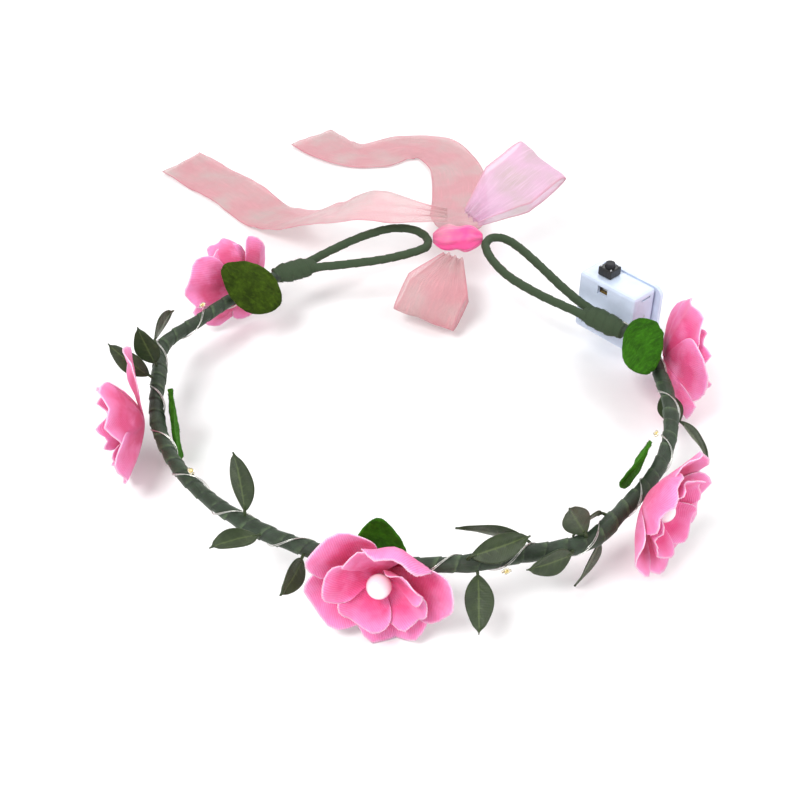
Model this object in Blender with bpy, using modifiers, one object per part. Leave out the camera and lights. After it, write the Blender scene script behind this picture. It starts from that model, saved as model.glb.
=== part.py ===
"""Flower crown: a wrapped wire band with five fabric flowers, leaves, a string of
lights with its coin cell box, and a ribbon that ties the two end loops together.

Frame: origin at the centre of the head opening, in the middle plane of the band.
+Z is up when worn, -Y is the front, +X is the wearer's left. Metres and degrees.
"""
import math

import bmesh
import bpy
from mathutils import Matrix, Vector

MM = 0.001
GAP = 0.3 * MM                       # clear distance between pieces that touch

# Band, seen from above
BAND_HALF_WIDTH = 86.3 * MM          # long half axis of the oval
BAND_HALF_DEPTH = 80.0 * MM          # short half axis of the oval
BAND_TURN = -18.0                    # long axis, turned about Z
# angle and size in mm of each place where the band bulges out or in
BAND_KNUCKLES = ((122.0, 2.5), (164.0, 4.5), (306.0, 3.5), (18.0, 3.0), (31.0, -3.0))
KNUCKLE_SPREAD = 8.0                 # how far round a bulge reaches
BAND_START = 121.5                   # left end, where the left loop is bound on
BAND_END = 389.0                     # right end, going round by the front
BAND_STEPS = 60
TABLE_HEIGHT = -20.5 * MM            # what the flowers and the ribbon's tails lie on

CORE_RADIUS = 0.6 * MM               # steel wire
WRAP_RADIUS = 2.1 * MM               # outside of the tape
WRAP_WALL = 1.1 * MM
LOOP_RADIUS = 1.65 * MM              # covered wire of the end loops
LOOP_RISE = 4.0 * MM                 # how far a loop climbs from its fork to its tip
BINDING_LENGTH = 13.0 * MM
BINDING_WALL = 0.8 * MM

# String of lights, wound round the band
LEAD_RADIUS = 0.25 * MM
LEAD_TURNS = 17
LEAD_POINTS_PER_TURN = 9
LEAD_CLEARANCE = 0.6 * MM
LEAD_MARGIN = 8.0                    # angle left free at the left end of the band
LEAD_EXIT = BAND_END - 4.0           # angle where the lead turns off to the battery box
LEAD_EXIT_SIDE = 50.0                # side of the band it leaves from
LED_LENGTH = 2.6 * MM
LED_RADIUS = 0.9 * MM
LED_ANGLES = (150.0, 214.0, 288.0, 343.0)

# Flowers
PETALS = 5
OUTER_PETAL_RADIUS = 22.5 * MM
INNER_PETAL_RADIUS = 16.5 * MM
OUTER_CUP = 9.0 * MM                 # how far the rim stands out from the base
INNER_CUP = 10.5 * MM
PETAL_NOTCH = 0.52                   # rim radius between two petals, as a share
PETAL_THICKNESS = 0.6 * MM
LAYER_GAP = 1.2 * MM                 # base of the inner petals above the outer ones
PEARL_DIAMETER = 7.2 * MM
# angle round the band, then the turn of the flower about its own axis
FLOWERS = ((135.5, 20.0), (191.5, -90.0), (264.0, -78.0), (321.0, 54.0), (12.0, -54.0))

# Felt leaves behind the flowers: angle round the band, tilt from facing inward
# to facing up, shift up the leaf's own face in mm, heading of the leaf from the
# band's direction, length in mm, width in mm
FELT_THICKNESS = 0.9 * MM
FELT_BOW = 1.6 * MM
FELT_LEAVES = (
    (136.5, 40.0, 1.0, 55.0, 26.0, 19.0),
    (189.0, 0.0, -5.0, 90.0, 28.0, 17.0),
    (262.5, 8.0, -1.0, 90.0, 27.0, 16.0),
    (330.0, 12.0, 1.0, 0.0, 22.0, 13.0),
    (12.0, 42.0, 0.5, 180.0, 29.0, 17.0),
)

# Small leaves: angle round the band, side of the band (0 outward, 90 up,
# 180 inward), lean from the band's direction (90 stands straight off), roll
# about the leaf's own axis, length in mm
LEAF_WIDTH = 8.5 * MM
LEAF_THICKNESS = 0.5 * MM
LEAF_FOLD = 0.9 * MM                 # rise of the two halves from the midrib
LEAF_DROOP = 1.8 * MM
LEAVES = (
    (163.5, 12.0, 168.0, 0.0, 18.0),
    (173.5, 75.0, 86.0, 0.0, 15.0),
    (177.0, 42.0, 97.0, 0.0, 17.0),
    (231.5, 105.0, 106.0, 90.0, 19.0),
    (237.0, 25.0, 108.0, 80.0, 16.0),
    (247.5, -8.0, 84.0, 20.0, 13.0),
    (282.5, -20.0, 98.0, 80.0, 17.0),
    (281.5, 75.0, 24.0, 0.0, 18.0),
    (294.0, 158.0, 154.0, 0.0, 21.0),
    (301.0, 15.0, 158.0, 0.0, 15.0),
    (304.5, 85.0, 118.0, 90.0, 19.0),
    (309.0, -92.0, 112.0, 90.0, 17.0),
    (312.5, 150.0, 165.0, 0.0, 14.0),
    (350.5, -30.0, 122.0, 40.0, 15.0),
    (2.0, -75.0, 164.0, 0.0, 15.0),
)

# Battery box, in its own axes: X along, Y out from the head, Z up
CASE_WALL = 1.5 * MM
CONTACT_ROOM = 3.0 * MM              # beside the cells, for the spring and the board
CASE_ROUNDING = 1.2 * MM
CASE_SHIFT = 5.0 * MM                # centre of the box, on from the end of the band
CASE_SKEW = -4.0                     # turned about Z from the band's direction
CASE_TOP = 10.5 * MM                 # above the middle plane of the band
CELL_DIAMETER = 20.0 * MM
CELL_THICKNESS = 3.2 * MM
CELL_COUNT = 2
CASE_LENGTH = CELL_DIAMETER + CONTACT_ROOM + 2 * CASE_WALL
CASE_HEIGHT = CELL_DIAMETER + 2 * (GAP + CASE_WALL)
SHEET_METAL = 0.3 * MM
BOARD_THICKNESS = 0.8 * MM
TONGUE_THICKNESS = 1.0 * MM
TONGUE_GRIP = 0.7 * MM               # how deep the grooves are cut in the walls
LIP_THICKNESS = 0.9 * MM
COVER_THICKNESS = 1.6 * MM
COVER_OVERHANG = 2.2 * MM
COVER_CORNER = 3.5 * MM
WINDOW = (4.5 * MM, 3.5 * MM)
WINDOW_OFFSET = -1.8 * MM
SWITCH_SIZE = 6.0 * MM
SWITCH_HEIGHT = 3.4 * MM
SWITCH_OFFSET = -4.1 * MM
PLUNGER_DIAMETER = 3.5 * MM
PLUNGER_PLAY = 0.2 * MM
PLUNGER_TRAVEL = 0.25 * MM
PLUNGER_PROUD = 1.5 * MM

# End loops, seen from above in mm: distance on from the end of the band, then outward.
# The outlines are drawn for LOOP_SPACING, and stretch to suit the space there is.
LOOP_SPACING = 100.2 * MM
LOOP_TAPED = 7.0 * MM                # length under the binding, which doesn't stretch
RIGHT_LOOP = (
    (7.0, 2.2), (15.5, 3.5), (26.5, 6.5), (39.0, 10.5), (51.5, 14.0), (59.0, 14.5),
    (63.0, 11.5), (62.0, 6.0), (56.5, 1.5), (49.0, -2.0), (41.0, -4.0), (31.0, -4.5),
    (20.5, -3.8), (13.0, -2.8), (7.0, -2.2),
)
LEFT_LOOP = (
    (7.0, 2.2), (17.5, 5.0), (31.5, 7.5), (44.0, 7.0), (51.5, 2.0), (54.0, -6.0),
    (50.5, -12.5), (39.5, -12.5), (30.0, -10.5), (17.0, -6.0), (7.0, -2.2),
)

# Ribbon, in mm from the middle of the knot, with heights above the table
RIBBON_WIDTH = 25.0 * MM
RIBBON_THICKNESS = 0.8 * MM
KNOT_ROOM = 20.0 * MM                # between the band's ends, beyond the two loops
KNOT_DEPTH = 12.0 * MM
KNOT_HEIGHT = 11.0 * MM
# route of the middle of each tail, then the direction of its width
TAIL_UP = (
    ((2.0, 8.0, 22.0), (1, 0, 0)), ((2.0, 25.0, 15.0), (1, 0, 0)),
    ((3.0, 52.5, 4.5), (1, 0, 0)), ((4.5, 77.5, 0.5), (1, 0, 0)),
    ((3.5, 102.5, 0.5), (1, 0.1, 0)), ((-5.5, 121.5, 0.5), (0.8, 0.9, 0)),
    ((-20.5, 123.5, 0.5), (-0.2, 1, 0)), ((-35.5, 115.5, 0.5), (-0.5, 1, 0)),
    ((-51.5, 119.5, 0.5), (0.4, 1, 0)), ((-66.5, 134.5, 0.5), (0.8, 0.7, 0)),
)
TAIL_LEFT = (
    ((-4.0, 7.0, 31.0), (0, 1, 0.1)), ((-20.0, 11.0, 31.0), (0, 1, 0.1)),
    ((-37.0, 15.0, 30.5), (0.2, 1, 0)), ((-53.0, 26.5, 20.5), (0.6, 0.8, 0)),
    ((-67.0, 42.5, 8.5), (0.75, 0.66, 0)), ((-81.0, 58.5, 0.5), (0.75, 0.66, 0)),
    ((-97.0, 78.5, 0.5), (0.7, 0.7, 0)), ((-113.0, 94.5, 0.5), (0.6, 0.8, 0)),
    ((-127.0, 108.5, 0.5), (0.6, 0.8, 0)),
)
# near end, far end, direction of the width
BOW_RIGHT = ((5.0, 7.0, 29.0), (36.0, 35.0, 40.0), (0.7, -0.55, -0.26))
BOW_LOWER = ((-1.5, -7.5, 21.5), (-14.0, -30.5, 6.5), (1.0, -0.2, 0.0))
BOW_THICKNESS = 9.0 * MM
GATHER = 0.3                         # width where a piece enters the knot, as a share
GATHER_REACH = 7                     # steps over which a tail opens to its full width
ROUTE_STEPS = 6                      # smooth points between two given ones


# ---------------------------------------------------------------- materials

def material(name, colour, roughness, metallic=0.0, alpha=1.0):
    made = bpy.data.materials.get(name)
    if made:
        return made
    made = bpy.data.materials.new(name)
    made.use_nodes = True
    shader = made.node_tree.nodes["Principled BSDF"]
    shader.inputs["Base Color"].default_value = (*colour, 1.0)
    shader.inputs["Roughness"].default_value = roughness
    shader.inputs["Metallic"].default_value = metallic
    shader.inputs["Alpha"].default_value = alpha
    return made


def petal_pink():
    return material("petal_fabric", (0.85, 0.16, 0.36), 0.9)


def organza():
    return material("organza", (0.86, 0.48, 0.55), 0.5, alpha=0.6)


def stem_green():
    return material("stem_tape", (0.025, 0.045, 0.02), 0.75)


def white_plastic():
    return material("white_plastic", (0.75, 0.82, 0.9), 0.35)


def black_plastic():
    return material("black_plastic", (0.02, 0.02, 0.022), 0.4)


def plated_metal():
    return material("plated_metal", (0.7, 0.7, 0.68), 0.3, 1.0)


# ---------------------------------------------------------------- helpers

def collection(name):
    made = bpy.data.collections.new(name)
    bpy.context.scene.collection.children.link(made)
    return made


def link(obj, paint=None, group="flower_crown"):
    bpy.data.collections[group].objects.link(obj)
    if paint:
        obj.data.materials.append(paint)
    return obj


def mesh_object(name, bm, paint, place=None, smooth=True):
    """Turn a bmesh into a named object; place is its world matrix."""
    mesh = bpy.data.meshes.new(name)
    bm.to_mesh(mesh)
    bm.free()
    if smooth:
        mesh.shade_smooth()
        mesh.set_sharp_from_angle(angle=math.radians(40))
    obj = link(bpy.data.objects.new(name, mesh), paint)
    if place:
        obj.matrix_world = place
    return obj


def box_mesh(low, high):
    bm = bmesh.new()
    low = Vector(low)
    high = Vector(high)
    size = Matrix.Diagonal((*(high - low), 1.0))
    bmesh.ops.create_cube(bm, size=1.0, matrix=Matrix.Translation((low + high) / 2) @ size)
    return bm


def solid_bounds(name, low, high, paint, place, bevel=0.0):
    obj = mesh_object(name, box_mesh(low, high), paint, place, smooth=False)
    if bevel:
        rounding = obj.modifiers.new("rounding", "BEVEL")
        rounding.width = bevel
        rounding.segments = 2
        rounding.limit_method = "ANGLE"
    return obj


def boolean(obj, other, operation):
    step = obj.modifiers.new(other.name, "BOOLEAN")
    step.object = other
    step.operation = operation
    step.solver = "EXACT"


def cutter(name, bm, place):
    mesh = bpy.data.meshes.new(name)
    bm.to_mesh(mesh)
    bm.free()
    obj = link(bpy.data.objects.new(name, mesh), group="cutters")
    obj.matrix_world = place
    obj.hide_render = True
    obj.display_type = "WIRE"
    return obj


def smooth_route(points, closed=False):
    """Catmull-Rom points through the given ones."""
    points = [Vector(p) for p in points]
    count = len(points)
    route = []
    for i in range(count - 1):
        before = points[max(i - 1, 0)]
        after = points[min(i + 2, count - 1)]
        for step in range(ROUTE_STEPS):
            t = step / ROUTE_STEPS
            a = 2 * points[i]
            b = points[i + 1] - before
            c = 2 * before - 5 * points[i] + 4 * points[i + 1] - after
            d = 3 * (points[i] - points[i + 1]) + after - before
            route.append((a + b * t + c * t * t + d * t * t * t) / 2)
    route.append(points[-1])
    return route


def tube(name, route, radius, paint, resolution=2, caps=True):
    curve = bpy.data.curves.new(name, "CURVE")
    curve.dimensions = "3D"
    curve.bevel_depth = radius
    curve.bevel_resolution = resolution
    curve.use_fill_caps = caps
    spline = curve.splines.new("POLY")
    spline.points.add(len(route) - 1)
    for point, place in zip(spline.points, route):
        point.co = (*place, 1.0)
    return link(bpy.data.objects.new(name, curve), paint)


def solidify(obj, thickness, offset):
    wall = obj.modifiers.new("wall", "SOLIDIFY")
    wall.thickness = thickness
    wall.offset = offset
    return obj


# ---------------------------------------------------------------- the ring

def band_radius(angle):
    turned = math.radians(angle - BAND_TURN)
    across = BAND_HALF_DEPTH * math.cos(turned)
    along = BAND_HALF_WIDTH * math.sin(turned)
    radius = BAND_HALF_WIDTH * BAND_HALF_DEPTH / math.hypot(across, along)
    for centre, bulge in BAND_KNUCKLES:
        away = (angle - centre + 180.0) % 360.0 - 180.0
        radius += bulge * MM * math.exp(-(away / KNUCKLE_SPREAD) ** 2)
    return radius


def band_point(angle):
    turned = math.radians(angle)
    return Vector((math.cos(turned), math.sin(turned), 0.0)) * band_radius(angle)


def band_axes(angle):
    """Unit vectors along the band (anticlockwise) and straight out from it."""
    along = (band_point(angle + 0.5) - band_point(angle - 0.5)).normalized()
    return along, along.cross(Vector((0, 0, 1)))


def side_vector(angle, side):
    outward = band_axes(angle)[1]
    turned = math.radians(side)
    return outward * math.cos(turned) + Vector((0, 0, 1)) * math.sin(turned)


def axes_matrix(origin, x_axis, z_axis):
    z_axis = z_axis.normalized()
    y_axis = z_axis.cross(x_axis).normalized()
    x_axis = y_axis.cross(z_axis)
    turn = Matrix((x_axis, y_axis, z_axis)).transposed()
    return Matrix.Translation(origin) @ turn.to_4x4()


LEAD_COIL_RADIUS = WRAP_RADIUS + LEAD_CLEARANCE + LEAD_RADIUS
ATTACH_RADIUS = LEAD_COIL_RADIUS + LEAD_RADIUS + GAP       # where leaves and flowers begin


def band():
    steps = [BAND_START + (BAND_END - BAND_START) * i / BAND_STEPS for i in range(BAND_STEPS + 1)]
    route = [band_point(angle) for angle in steps]
    tube("core_wire", route, CORE_RADIUS, plated_metal(), resolution=1)
    wrap = tube("band_wrap", route, WRAP_RADIUS, stem_green(), caps=False)
    solidify(wrap, WRAP_WALL, -1.0)


def end_axes(angle, onward):
    """Origin at an end of the band, X on from that end, Y outward."""
    along, outward = band_axes(angle)
    turn = Matrix((along * onward, outward, Vector((0, 0, 1)))).transposed()
    return Matrix.Translation(band_point(angle)) @ turn.to_4x4()


def loop_stretch():
    space = (band_point(BAND_END) - band_point(BAND_START)).length - KNOT_ROOM
    return space / LOOP_SPACING


def end_loop(name, place, outline):
    """A covered wire bent into a teardrop that climbs towards its tip."""
    start = Vector((1.5 * GAP, LOOP_RADIUS + GAP, 0.0))
    finish = Vector((1.5 * GAP, -LOOP_RADIUS - GAP, 0.0))
    stretch = loop_stretch()
    middle = [
        Vector((LOOP_TAPED + (x * MM - LOOP_TAPED) * stretch, y * MM, 0.0)) for x, y in outline
    ]
    flat = smooth_route([start, *middle, finish])
    reach = max(point.x for point in flat)
    route = [place @ Vector((p.x, p.y, LOOP_RISE * p.x / reach)) for p in flat]
    thinned = route[::2]
    if thinned[-1] != route[-1]:
        thinned.append(route[-1])
    tube(name, thinned, LOOP_RADIUS, stem_green())
    return route[max(range(len(flat)), key=lambda i: flat[i].x)]


BINDING_BORE = 2 * LOOP_RADIUS + 2.5 * GAP
BINDING_RADIUS = BINDING_BORE + BINDING_WALL


def binding(name, place):
    """The tape that holds an end loop to the end of the band, an open sleeve."""
    bm = bmesh.new()
    bmesh.ops.create_cone(
        bm, cap_ends=False, segments=16, radius1=BINDING_BORE, radius2=BINDING_BORE,
        depth=BINDING_LENGTH, matrix=Matrix.Rotation(math.radians(90), 4, "Y"),
    )
    solidify(mesh_object(name, bm, stem_green(), place), BINDING_WALL, 1.0)


# ---------------------------------------------------------------- flowers

def petal_rim(turn):
    """Radius of the petals' rim at an angle in radians, as a share of the whole."""
    phase = (turn * PETALS / (2 * math.pi)) % 1.0 - 0.5
    crest = max(math.cos(math.pi * phase), 0.0) ** 0.4
    return PETAL_NOTCH + (1.0 - PETAL_NOTCH) * crest


def petal_layer(name, radius, cup, rings, per_petal, place):
    """Five joined petals: a line spun round the flower's axis, then cupped."""
    bm = bmesh.new()
    line = [bm.verts.new((radius * i / rings, 0.0, 0.0)) for i in range(rings + 1)]
    edges = [bm.edges.new(pair) for pair in zip(line, line[1:])]
    bmesh.ops.spin(
        bm, geom=line + edges, cent=(0, 0, 0), axis=(0, 0, 1), angle=2 * math.pi,
        steps=PETALS * per_petal, use_merge=True, use_duplicate=False,
    )
    bmesh.ops.remove_doubles(bm, verts=bm.verts, dist=0.01 * MM)
    for vert in bm.verts:
        share = vert.co.xy.length / radius
        turn = math.atan2(vert.co.y, vert.co.x) + math.pi / PETALS
        pull = 1.0 - (1.0 - petal_rim(turn)) * share * share
        vert.co.xy *= pull
        vert.co.z = cup * (share * pull) ** 1.6
    bmesh.ops.recalc_face_normals(bm, faces=bm.faces)
    return solidify(mesh_object(name, bm, petal_pink(), place), PETAL_THICKNESS, 1.0)


def flower_height(spin):
    """Height of a flower's middle that stands its lowest petal on the table."""
    reach = 0.0
    for step in range(PETALS * 5):
        turn = 2 * math.pi * step / (PETALS * 5)
        rim = OUTER_PETAL_RADIUS * petal_rim(turn + math.pi / PETALS)
        reach = max(reach, -rim * math.sin(turn + math.radians(spin)))
    return TABLE_HEIGHT + reach


def flower(number, angle, spin):
    along, outward = band_axes(angle)
    base = band_point(angle) + outward * (ATTACH_RADIUS + PETAL_THICKNESS)
    base.z = flower_height(spin)
    face = axes_matrix(base, along, outward) @ Matrix.Rotation(math.radians(spin), 4, "Z")
    petal_layer(
        f"flower_{number}_outer_petals", OUTER_PETAL_RADIUS, OUTER_CUP, rings=3, per_petal=5,
        place=face,
    )
    half_turn = Matrix.Rotation(math.pi / PETALS, 4, "Z")
    raised = face @ Matrix.Translation((0, 0, LAYER_GAP + PETAL_THICKNESS)) @ half_turn
    petal_layer(
        f"flower_{number}_inner_petals", INNER_PETAL_RADIUS, INNER_CUP, rings=3, per_petal=4,
        place=raised,
    )
    bm = bmesh.new()
    bmesh.ops.create_uvsphere(bm, u_segments=12, v_segments=8, radius=PEARL_DIAMETER / 2)
    seat = PETAL_THICKNESS + GAP + PEARL_DIAMETER / 2
    pearl = material("pearl", (0.9, 0.88, 0.84), 0.15)
    mesh_object(f"flower_{number}_pearl", bm, pearl, raised @ Matrix.Translation((0, 0, seat)))


# ---------------------------------------------------------------- leaves

def leaf_mesh(length, width, fold, droop, columns, rows, point=1.0):
    """A pointed oval sheet from the origin along +X, folded up from its midrib."""
    bm = bmesh.new()
    bmesh.ops.create_grid(bm, x_segments=columns, y_segments=rows, size=0.5)
    for vert in bm.verts:
        t = vert.co.x + 0.5
        side = vert.co.y * 2
        half = width / 2 * (0.12 + 0.88 * math.sin(math.pi * t ** 0.85) ** point)
        vert.co.x = length * t
        vert.co.y = side * half
        vert.co.z = fold * abs(side) * half * 2 / width - droop * t * t
    bmesh.ops.recalc_face_normals(bm, faces=bm.faces)
    return bm


def felt_leaf(number, angle, tilt, shift, heading, length, width):
    along = band_axes(angle)[0]
    face = side_vector(angle, 180.0 - tilt)
    up_face = along.cross(face)
    turned = math.radians(heading)
    direction = along * math.cos(turned) + up_face * math.sin(turned)
    reach = length * MM * math.cos(turned) / 2
    band_sag = reach * reach / (2 * band_radius(angle))
    standoff = ATTACH_RADIUS + FELT_THICKNESS + band_sag
    centre = band_point(angle) + face * standoff + up_face * shift * MM
    bm = leaf_mesh(length * MM, width * MM, -FELT_BOW, 0.0, columns=6, rows=4, point=0.75)
    green = material("felt", (0.05, 0.16, 0.01), 0.95)
    place = axes_matrix(centre, direction, face) @ Matrix.Translation((-length * MM / 2, 0, FELT_BOW))
    leaf = mesh_object(f"flower_{number}_felt_leaf", bm, green, place)
    solidify(leaf, FELT_THICKNESS, 0.0)


def small_leaf(number, angle, side, lean, roll, length):
    along = band_axes(angle)[0]
    off = side_vector(angle, side)
    turned = math.radians(lean)
    direction = along * math.cos(turned) + off * math.sin(turned)
    top = off * math.cos(turned) * -1.0 + along * math.sin(turned)
    if turned > math.pi / 2 or top.dot(off) > 0:
        top = top if top.dot(off) > 0 else -top
    base = band_point(angle) + off * (ATTACH_RADIUS + LEAF_THICKNESS)
    place = axes_matrix(base, direction, top) @ Matrix.Rotation(math.radians(roll), 4, "X")
    bm = leaf_mesh(length * MM, LEAF_WIDTH, LEAF_FOLD, LEAF_DROOP, columns=6, rows=2)
    green = material("satin_leaf", (0.02, 0.05, 0.012), 0.5)
    solidify(mesh_object(f"leaf_{number:02d}", bm, green, place), LEAF_THICKNESS, 0.0)


# ---------------------------------------------------------------- battery box

DECK = CASE_WALL + GAP                                  # floor of the case, inside
CELL_STEP = CELL_THICKNESS + GAP
CELLS_START = DECK + SHEET_METAL + GAP
TONGUE_START = CELLS_START + CELL_COUNT * CELL_STEP + GAP
GROOVE = (TONGUE_START - GAP, TONGUE_START + TONGUE_THICKNESS + GAP)
CASE_DEPTH = GROOVE[1] + LIP_THICKNESS
HALF_LENGTH = CASE_LENGTH / 2
HALF_HEIGHT = CASE_HEIGHT / 2
ROOM_LENGTH = HALF_LENGTH - CASE_WALL
ROOM_HEIGHT = HALF_HEIGHT - CASE_WALL


def case_matrix():
    """The middle of the case's inner face, taped against the right binding."""
    outward = band_axes(BAND_END)[1]
    heading = math.degrees(math.atan2(outward.y, outward.x)) - 90.0 + CASE_SKEW
    skew_room = math.sin(math.radians(abs(CASE_SKEW))) * (CASE_SHIFT + BINDING_LENGTH)
    spot = Vector((CASE_SHIFT, BINDING_RADIUS + GAP + skew_room, CASE_TOP - HALF_HEIGHT))
    origin = end_axes(BAND_END, 1.0) @ spot
    return Matrix.Translation(origin) @ Matrix.Rotation(math.radians(heading), 4, "Z")


def battery_case(place):
    over = 1.0 * MM
    case = solid_bounds(
        "battery_case", (-HALF_LENGTH, 0, -HALF_HEIGHT), (HALF_LENGTH, CASE_DEPTH, HALF_HEIGHT),
        white_plastic(), place, bevel=CASE_ROUNDING,
    )
    room = box_mesh(
        (-ROOM_LENGTH, CASE_WALL, -ROOM_HEIGHT), (ROOM_LENGTH, CASE_DEPTH + over, ROOM_HEIGHT)
    )
    grooves = box_mesh(
        (-HALF_LENGTH - over, GROOVE[0], -ROOM_HEIGHT - TONGUE_GRIP),
        (ROOM_LENGTH, GROOVE[1], ROOM_HEIGHT + TONGUE_GRIP),
    )
    mouth = box_mesh(
        (-HALF_LENGTH - over, GROOVE[0] + GAP, -ROOM_HEIGHT),
        (-ROOM_LENGTH + over, CASE_DEPTH + over, ROOM_HEIGHT),
    )
    window_top = ROOM_HEIGHT - GAP
    window = box_mesh(
        (WINDOW_OFFSET - WINDOW[0] / 2, -over, window_top - WINDOW[1]),
        (WINDOW_OFFSET + WINDOW[0] / 2, CASE_WALL + over, window_top),
    )
    slit = box_mesh(
        (ROOM_LENGTH - over, CASE_DEPTH / 3, ROOM_HEIGHT - 1.2 * MM),
        (HALF_LENGTH + over, CASE_DEPTH * 0.75, ROOM_HEIGHT - 0.4 * MM),
    )
    cuts = {"room": room, "grooves": grooves, "mouth": mouth, "window": window, "slit": slit}
    for name, bm in cuts.items():
        boolean(case, cutter(f"{name}_cutter", bm, place), "DIFFERENCE")


def battery_cover(place):
    """Outer plate, neck and the tongue that runs in the case's grooves."""
    plate_start = CASE_DEPTH + GAP
    plate = solid_bounds(
        "battery_cover", (-HALF_LENGTH, plate_start, -HALF_HEIGHT),
        (HALF_LENGTH + COVER_OVERHANG, plate_start + COVER_THICKNESS, HALF_HEIGHT),
        white_plastic(), place,
    )
    mesh = plate.data
    bm = bmesh.new()
    bm.from_mesh(mesh)
    corners = [e for e in bm.edges if abs((e.verts[0].co - e.verts[1].co).normalized().y) > 0.9]
    bmesh.ops.bevel(bm, geom=corners, offset=COVER_CORNER, segments=4, profile=0.5, affect="EDGES")
    bm.to_mesh(mesh)
    bm.free()
    run = (-HALF_LENGTH + GAP, ROOM_LENGTH - GAP)
    neck = box_mesh(
        (run[0], TONGUE_START + GAP, -ROOM_HEIGHT + GAP), (run[1], plate_start + GAP, ROOM_HEIGHT - GAP)
    )
    tongue_reach = ROOM_HEIGHT + TONGUE_GRIP - GAP
    tongue = box_mesh(
        (run[0], TONGUE_START, -tongue_reach), (run[1], TONGUE_START + TONGUE_THICKNESS, tongue_reach)
    )
    boolean(plate, cutter("neck_shape", neck, place), "UNION")
    boolean(plate, cutter("tongue_shape", tongue, place), "UNION")


def cylinder(name, radius, depth, paint, place, segments=32):
    bm = bmesh.new()
    bmesh.ops.create_cone(
        bm, cap_ends=True, segments=segments, radius1=radius, radius2=radius, depth=depth
    )
    return mesh_object(name, bm, paint, place)


def cells_and_contacts(place):
    cell_middle = -ROOM_LENGTH + GAP + CELL_DIAMETER / 2
    lay_down = Matrix.Rotation(math.radians(-90), 4, "X")
    for number in range(CELL_COUNT):
        depth = CELLS_START + CELL_STEP * number + CELL_THICKNESS / 2
        seat = place @ Matrix.Translation((cell_middle, depth, 0)) @ lay_down
        cylinder(f"coin_cell_{number + 1}", CELL_DIAMETER / 2, CELL_THICKNESS, plated_metal(), seat)
    brass = material("brass", (0.8, 0.6, 0.25), 0.3, 1.0)
    solid_bounds(
        "contact_plate", (cell_middle - 4 * MM, DECK, -7 * MM),
        (cell_middle + 4 * MM, DECK + SHEET_METAL, 7 * MM), brass, place,
    )
    board_end = ROOM_LENGTH - GAP
    board_start = board_end - BOARD_THICKNESS
    solid_bounds(
        "circuit_board", (board_start, DECK, -8.5 * MM),
        (board_end, TONGUE_START - 2 * GAP, 8.5 * MM), material("board", (0.02, 0.2, 0.06), 0.5),
        place,
    )
    cell_end = cell_middle + CELL_DIAMETER / 2
    room = board_start - cell_end - 2 * GAP - SHEET_METAL
    bm = bmesh.new()
    bmesh.ops.create_grid(bm, x_segments=8, y_segments=1, size=0.5)
    for vert in bm.verts:
        arch = room * math.cos(math.pi * vert.co.x)
        height = vert.co.x * 12 * MM
        middle = (CELLS_START + TONGUE_START) / 2
        vert.co = Vector((board_start - GAP - arch - SHEET_METAL / 2, middle + vert.co.y * 4 * MM, height))
    solidify(mesh_object("contact_spring", bm, brass, place), SHEET_METAL, 0.0)


def power_switch(place):
    top = HALF_HEIGHT + GAP
    middle = CASE_DEPTH / 2
    half = SWITCH_SIZE / 2
    base = solid_bounds(
        "switch_base", (SWITCH_OFFSET - half, middle - half, top),
        (SWITCH_OFFSET + half, middle + half, top + SWITCH_HEIGHT), black_plastic(), place,
        bevel=0.4 * MM,
    )
    floor = top + 0.8 * MM
    bore = bmesh.new()
    bore_radius = PLUNGER_DIAMETER / 2 + PLUNGER_PLAY
    bore_depth = SWITCH_HEIGHT
    bmesh.ops.create_cone(
        bore, cap_ends=True, segments=32, radius1=bore_radius, radius2=bore_radius, depth=bore_depth,
        matrix=Matrix.Translation((SWITCH_OFFSET, middle, floor + bore_depth / 2)),
    )
    boolean(base, cutter("plunger_bore_cutter", bore, place), "DIFFERENCE")
    foot = floor + PLUNGER_TRAVEL + GAP
    head = top + SWITCH_HEIGHT + PLUNGER_PROUD
    seat = place @ Matrix.Translation((SWITCH_OFFSET, middle, (foot + head) / 2))
    cylinder("power_button", PLUNGER_DIAMETER / 2, head - foot, black_plastic(), seat, segments=24)


# ---------------------------------------------------------------- string of lights

def lead_point(angle):
    turns_left = LEAD_TURNS * (LEAD_EXIT - angle) / (BAND_END - BAND_START)
    side = LEAD_EXIT_SIDE - 360.0 * turns_left
    return band_point(angle) + side_vector(angle, side) * LEAD_COIL_RADIUS


def light_string(case_place):
    """One long wire wound round the band, then across to the battery case."""
    start = BAND_START + LEAD_MARGIN
    reach = LEAD_EXIT - start
    count = int(LEAD_TURNS * LEAD_POINTS_PER_TURN * reach / (BAND_END - BAND_START))
    route = [lead_point(start + reach * i / count) for i in range(count + 1)]
    clear = HALF_LENGTH + 2 * GAP + LEAD_RADIUS
    for past_end, out, up in ((2.5, 0.0, 1.0), (1.6, 0.25, 2.4), (0.0, 0.5, 3.0)):
        spot = Vector((clear + past_end * MM, CASE_DEPTH * out, up * MM))
        route.append(case_place @ spot)
    tube("light_wire", route, LEAD_RADIUS, plated_metal())
    resin = material("led_resin", (0.95, 0.9, 0.75), 0.1)
    for number, angle in enumerate(LED_ANGLES, start=1):
        centre = band_point(angle)
        off = (lead_point(angle) - centre).normalized()
        reach = LEAD_COIL_RADIUS + LEAD_RADIUS + GAP + LED_RADIUS
        along = band_axes(angle)[0]
        bm = bmesh.new()
        bmesh.ops.create_uvsphere(bm, u_segments=8, v_segments=6, radius=LED_RADIUS)
        bmesh.ops.scale(bm, vec=(1, 1, LED_LENGTH / (2 * LED_RADIUS)), verts=bm.verts)
        mesh_object(f"led_{number}", bm, resin, axes_matrix(centre + off * reach, off, along))


# ---------------------------------------------------------------- ribbon

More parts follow.
